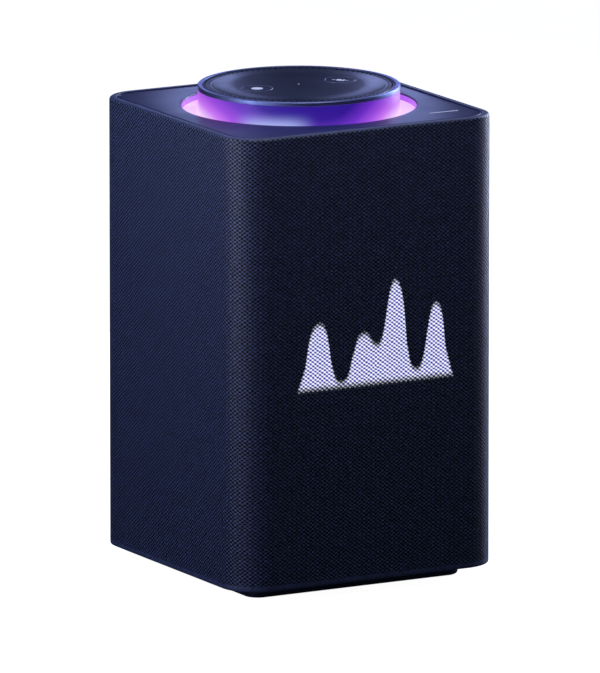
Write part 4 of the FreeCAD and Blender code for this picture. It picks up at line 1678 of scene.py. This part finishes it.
    def stroke(
        self, shape: Shape, line: Sequence[tuple[float, float]], width: float, level: float
    ) -> None:
        """Adds a printed stroke of even width along a line.

        Args:
            shape: The shape that takes the stroke.
            line: The stroke's middle line.
            width: Its width.
            level: Height of the face that it is printed on.
        """
        left, right = [], []
        for index, (x, y) in enumerate(line):
            before = line[max(index - 1, 0)]
            after = line[min(index + 1, len(line) - 1)]
            along = Vector((after[0] - before[0], after[1] - before[1])).normalized()
            side = Vector((-along.y, along.x)) * width / 2
            left.append((x + side.x, y + side.y))
            right.append((x - side.x, y - side.y))
        shape.slab(right + left[::-1], level, level + self.mark_t)


@dataclass
class Base:
    """Inset plinth, with a recess for its rubber pad."""

    finisher: Finisher
    corner_r: float = 7.5
    edge_r: float = 1.5
    pad_half: float = 52.0
    pad_r: float = 5.0
    web: tuple[float, float] = (1.6, 3.4)

    def build(self) -> None:
        """Builds the plinth with its rounded lower edge and a shallow recess in its underside for
        the pad.
        """
        low, high = (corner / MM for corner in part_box("base_plinth"))
        half = high.x
        rings = [(self.pad_half, self.web[0]), (self.pad_half, low.z), (half - self.edge_r, low.z)]
        for step in range(1, ARC + 1):
            angle = math.pi / 2 * step / ARC
            rings.append(
                (
                    half - self.edge_r * (1 - math.sin(angle)),
                    low.z + self.edge_r * (1 - math.cos(angle)),
                )
            )
        rings += [(half, high.z), (self.pad_half, high.z), (self.pad_half, self.web[1])]
        levels = []
        for side, z in rings:
            radius = self.pad_r if side == self.pad_half else self.corner_r - half + side
            levels.append(rounded_square(side, radius, z))
        plinth = Shape().loft(levels, closed=False, ends=True)
        self.finisher.settle(plinth.made("plinth"), "housing", "plinth_plastic", ["base_plinth"])


# ------------------------------------------------------------------ studio
@dataclass(frozen=True)
class Lamp:
    """A soft box."""

    name: str
    azimuth: float
    elevation: float
    distance: float
    width: float
    height: float
    power: float
    colour: str
    target_z: float = 0.12


@dataclass
class Studio:
    """Camera, lamps, surroundings and floor."""

    camera_at: tuple[float, float, float] = (-3.4055, -6.1268, 1.5421)
    aim: tuple[float, float, float] = (0.0, 0.0, 0.115)
    lens: float = 811.2
    shift: tuple[float, float] = (0.0017, -0.0149)
    sky: str = "#22252C"
    floor_half: float = 9.0
    clip: tuple[float, float] = (0.5, 60.0)
    lamps: tuple[Lamp, ...] = (
        Lamp("key", 176.0, 20.0, 0.3, 0.14, 0.14, 0.23, "#E4E8FF", 0.2),
        Lamp("corner_strip", 187.0, 0.0, 0.7, 0.08, 0.26, 0.7, "#D8DEFF", 0.19),
        Lamp("top_soft", 180.0, 65.0, 0.5, 0.3, 0.3, 0.25, "#E4E8FF", 0.22),
        Lamp("bezel_fill", 212.0, -9.0, 0.9, 0.24, 0.12, 0.36, "#D5DCFF", 0.235),
        Lamp("bezel_back", 72.0, -11.0, 0.6, 0.3, 0.12, 0.4, "#D5DCFF", 0.235),
        Lamp("right_fill", 356.0, -9.0, 1.0, 0.4, 0.15, 0.8, "#D5DCFF", 0.235),
        Lamp("front_fill", 262.0, 60.0, 0.45, 0.3, 0.25, 0.62, "#F4F4FF", 0.2),
        Lamp("right_rim", 22.0, 14.0, 1.1, 0.25, 0.8, 9.0, "#D5DCFF"),
        Lamp("left_strip", 72.6, 12.0, 0.26, 0.034, 0.3, 0.055, "#A9B6FF", 0.24),
        Lamp("right_strip", 49.2, 12.0, 0.26, 0.034, 0.3, 0.065, "#A9B6FF", 0.24),
    )

    def build(self) -> None:
        """Builds everything round the object."""
        self.camera()
        for lamp in self.lamps:
            self.lamp(lamp)
        self.surroundings()
        self.floor()

    def camera(self) -> None:
        """Sets the camera at the viewing angle."""
        data = bpy.data.cameras.new("camera")
        data.lens = self.lens
        data.shift_x, data.shift_y = self.shift
        data.clip_start, data.clip_end = self.clip
        camera = bpy.data.objects.new("camera", data)
        camera.location = self.camera_at
        away = Vector(self.camera_at) - Vector(self.aim)
        camera.rotation_mode = "QUATERNION"
        camera.rotation_quaternion = away.to_track_quat("Z", "Y")
        bpy.context.scene.collection.objects.link(camera)
        bpy.context.scene.camera = camera

    def lamp(self, lamp: Lamp) -> None:
        """Hangs one soft box, aimed at the object."""
        data = bpy.data.lights.new(lamp.name, "AREA")
        data.shape = "RECTANGLE"
        data.size, data.size_y = lamp.width, lamp.height
        data.energy = lamp.power
        data.color = linear(lamp.colour)[:3]
        obj = bpy.data.objects.new(lamp.name, data)
        turn, lift = math.radians(lamp.azimuth), math.radians(lamp.elevation)
        way = Vector(
            (math.cos(turn) * math.cos(lift), math.sin(turn) * math.cos(lift), math.sin(lift))
        )
        obj.location = Vector((0, 0, lamp.target_z)) + way * lamp.distance
        obj.rotation_mode = "QUATERNION"
        obj.rotation_quaternion = way.to_track_quat("Z", "Y")
        obj.visible_camera = False
        bpy.context.scene.collection.objects.link(obj)

    def surroundings(self) -> None:
        """Makes a white backdrop that lights the object only dimly."""
        world = bpy.data.worlds.new("studio")
        world.use_nodes = True
        tree = world.node_tree
        tree.nodes.clear()
        paths = add(tree, "ShaderNodeLightPath")
        dim = add(tree, "ShaderNodeBackground", {"Color": linear(self.sky), "Strength": 1.0})
        white = add(tree, "ShaderNodeBackground", {"Color": (1, 1, 1, 1), "Strength": 1.0})
        seen = paths.outputs["Is Camera Ray"]
        both = add(tree, "ShaderNodeMixShader", {0: seen, 1: dim, 2: white})
        add(tree, "ShaderNodeOutputWorld", {"Surface": both})
        bpy.context.scene.world = world
        bpy.context.scene.view_settings.view_transform = "Standard"

    def floor(self) -> None:
        """Lays the pale floor."""
        h = self.floor_half / MM
        shape = Shape().loft([[Vector((-h, -h, 0)), Vector((h, -h, 0))],
                              [Vector((-h, h, 0)), Vector((h, h, 0))]], closed=False)
        shape.faces = shape.faces[:1]
        floor = shape.made("floor")
        floor.data.materials.append(STUDIO_PAPER.build())
        floor.visible_diffuse = False
        floor.visible_glossy = False
        floor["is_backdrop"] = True


def main() -> dict[str, list[list[float]]]:
    """Builds the whole scene round the frame.

    Returns:
        The CAD model's box and the visual model's box.
    """
    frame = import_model()
    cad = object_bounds()
    finisher = Finisher()
    finisher.dress_nodes(frame["nodes"])
    Studio().build()
    for part in (FabricSleeve, TopPlate, LightRing, Dial, MicDisc, Base):
        part(finisher).build()
    sizes = {"cad": [list(corner) for corner in cad]}
    sizes["visual"] = [list(corner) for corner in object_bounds()]
    return sizes


if __name__ == "__main__":
    logging.basicConfig(level=logging.INFO, format="%(message)s")
    main()
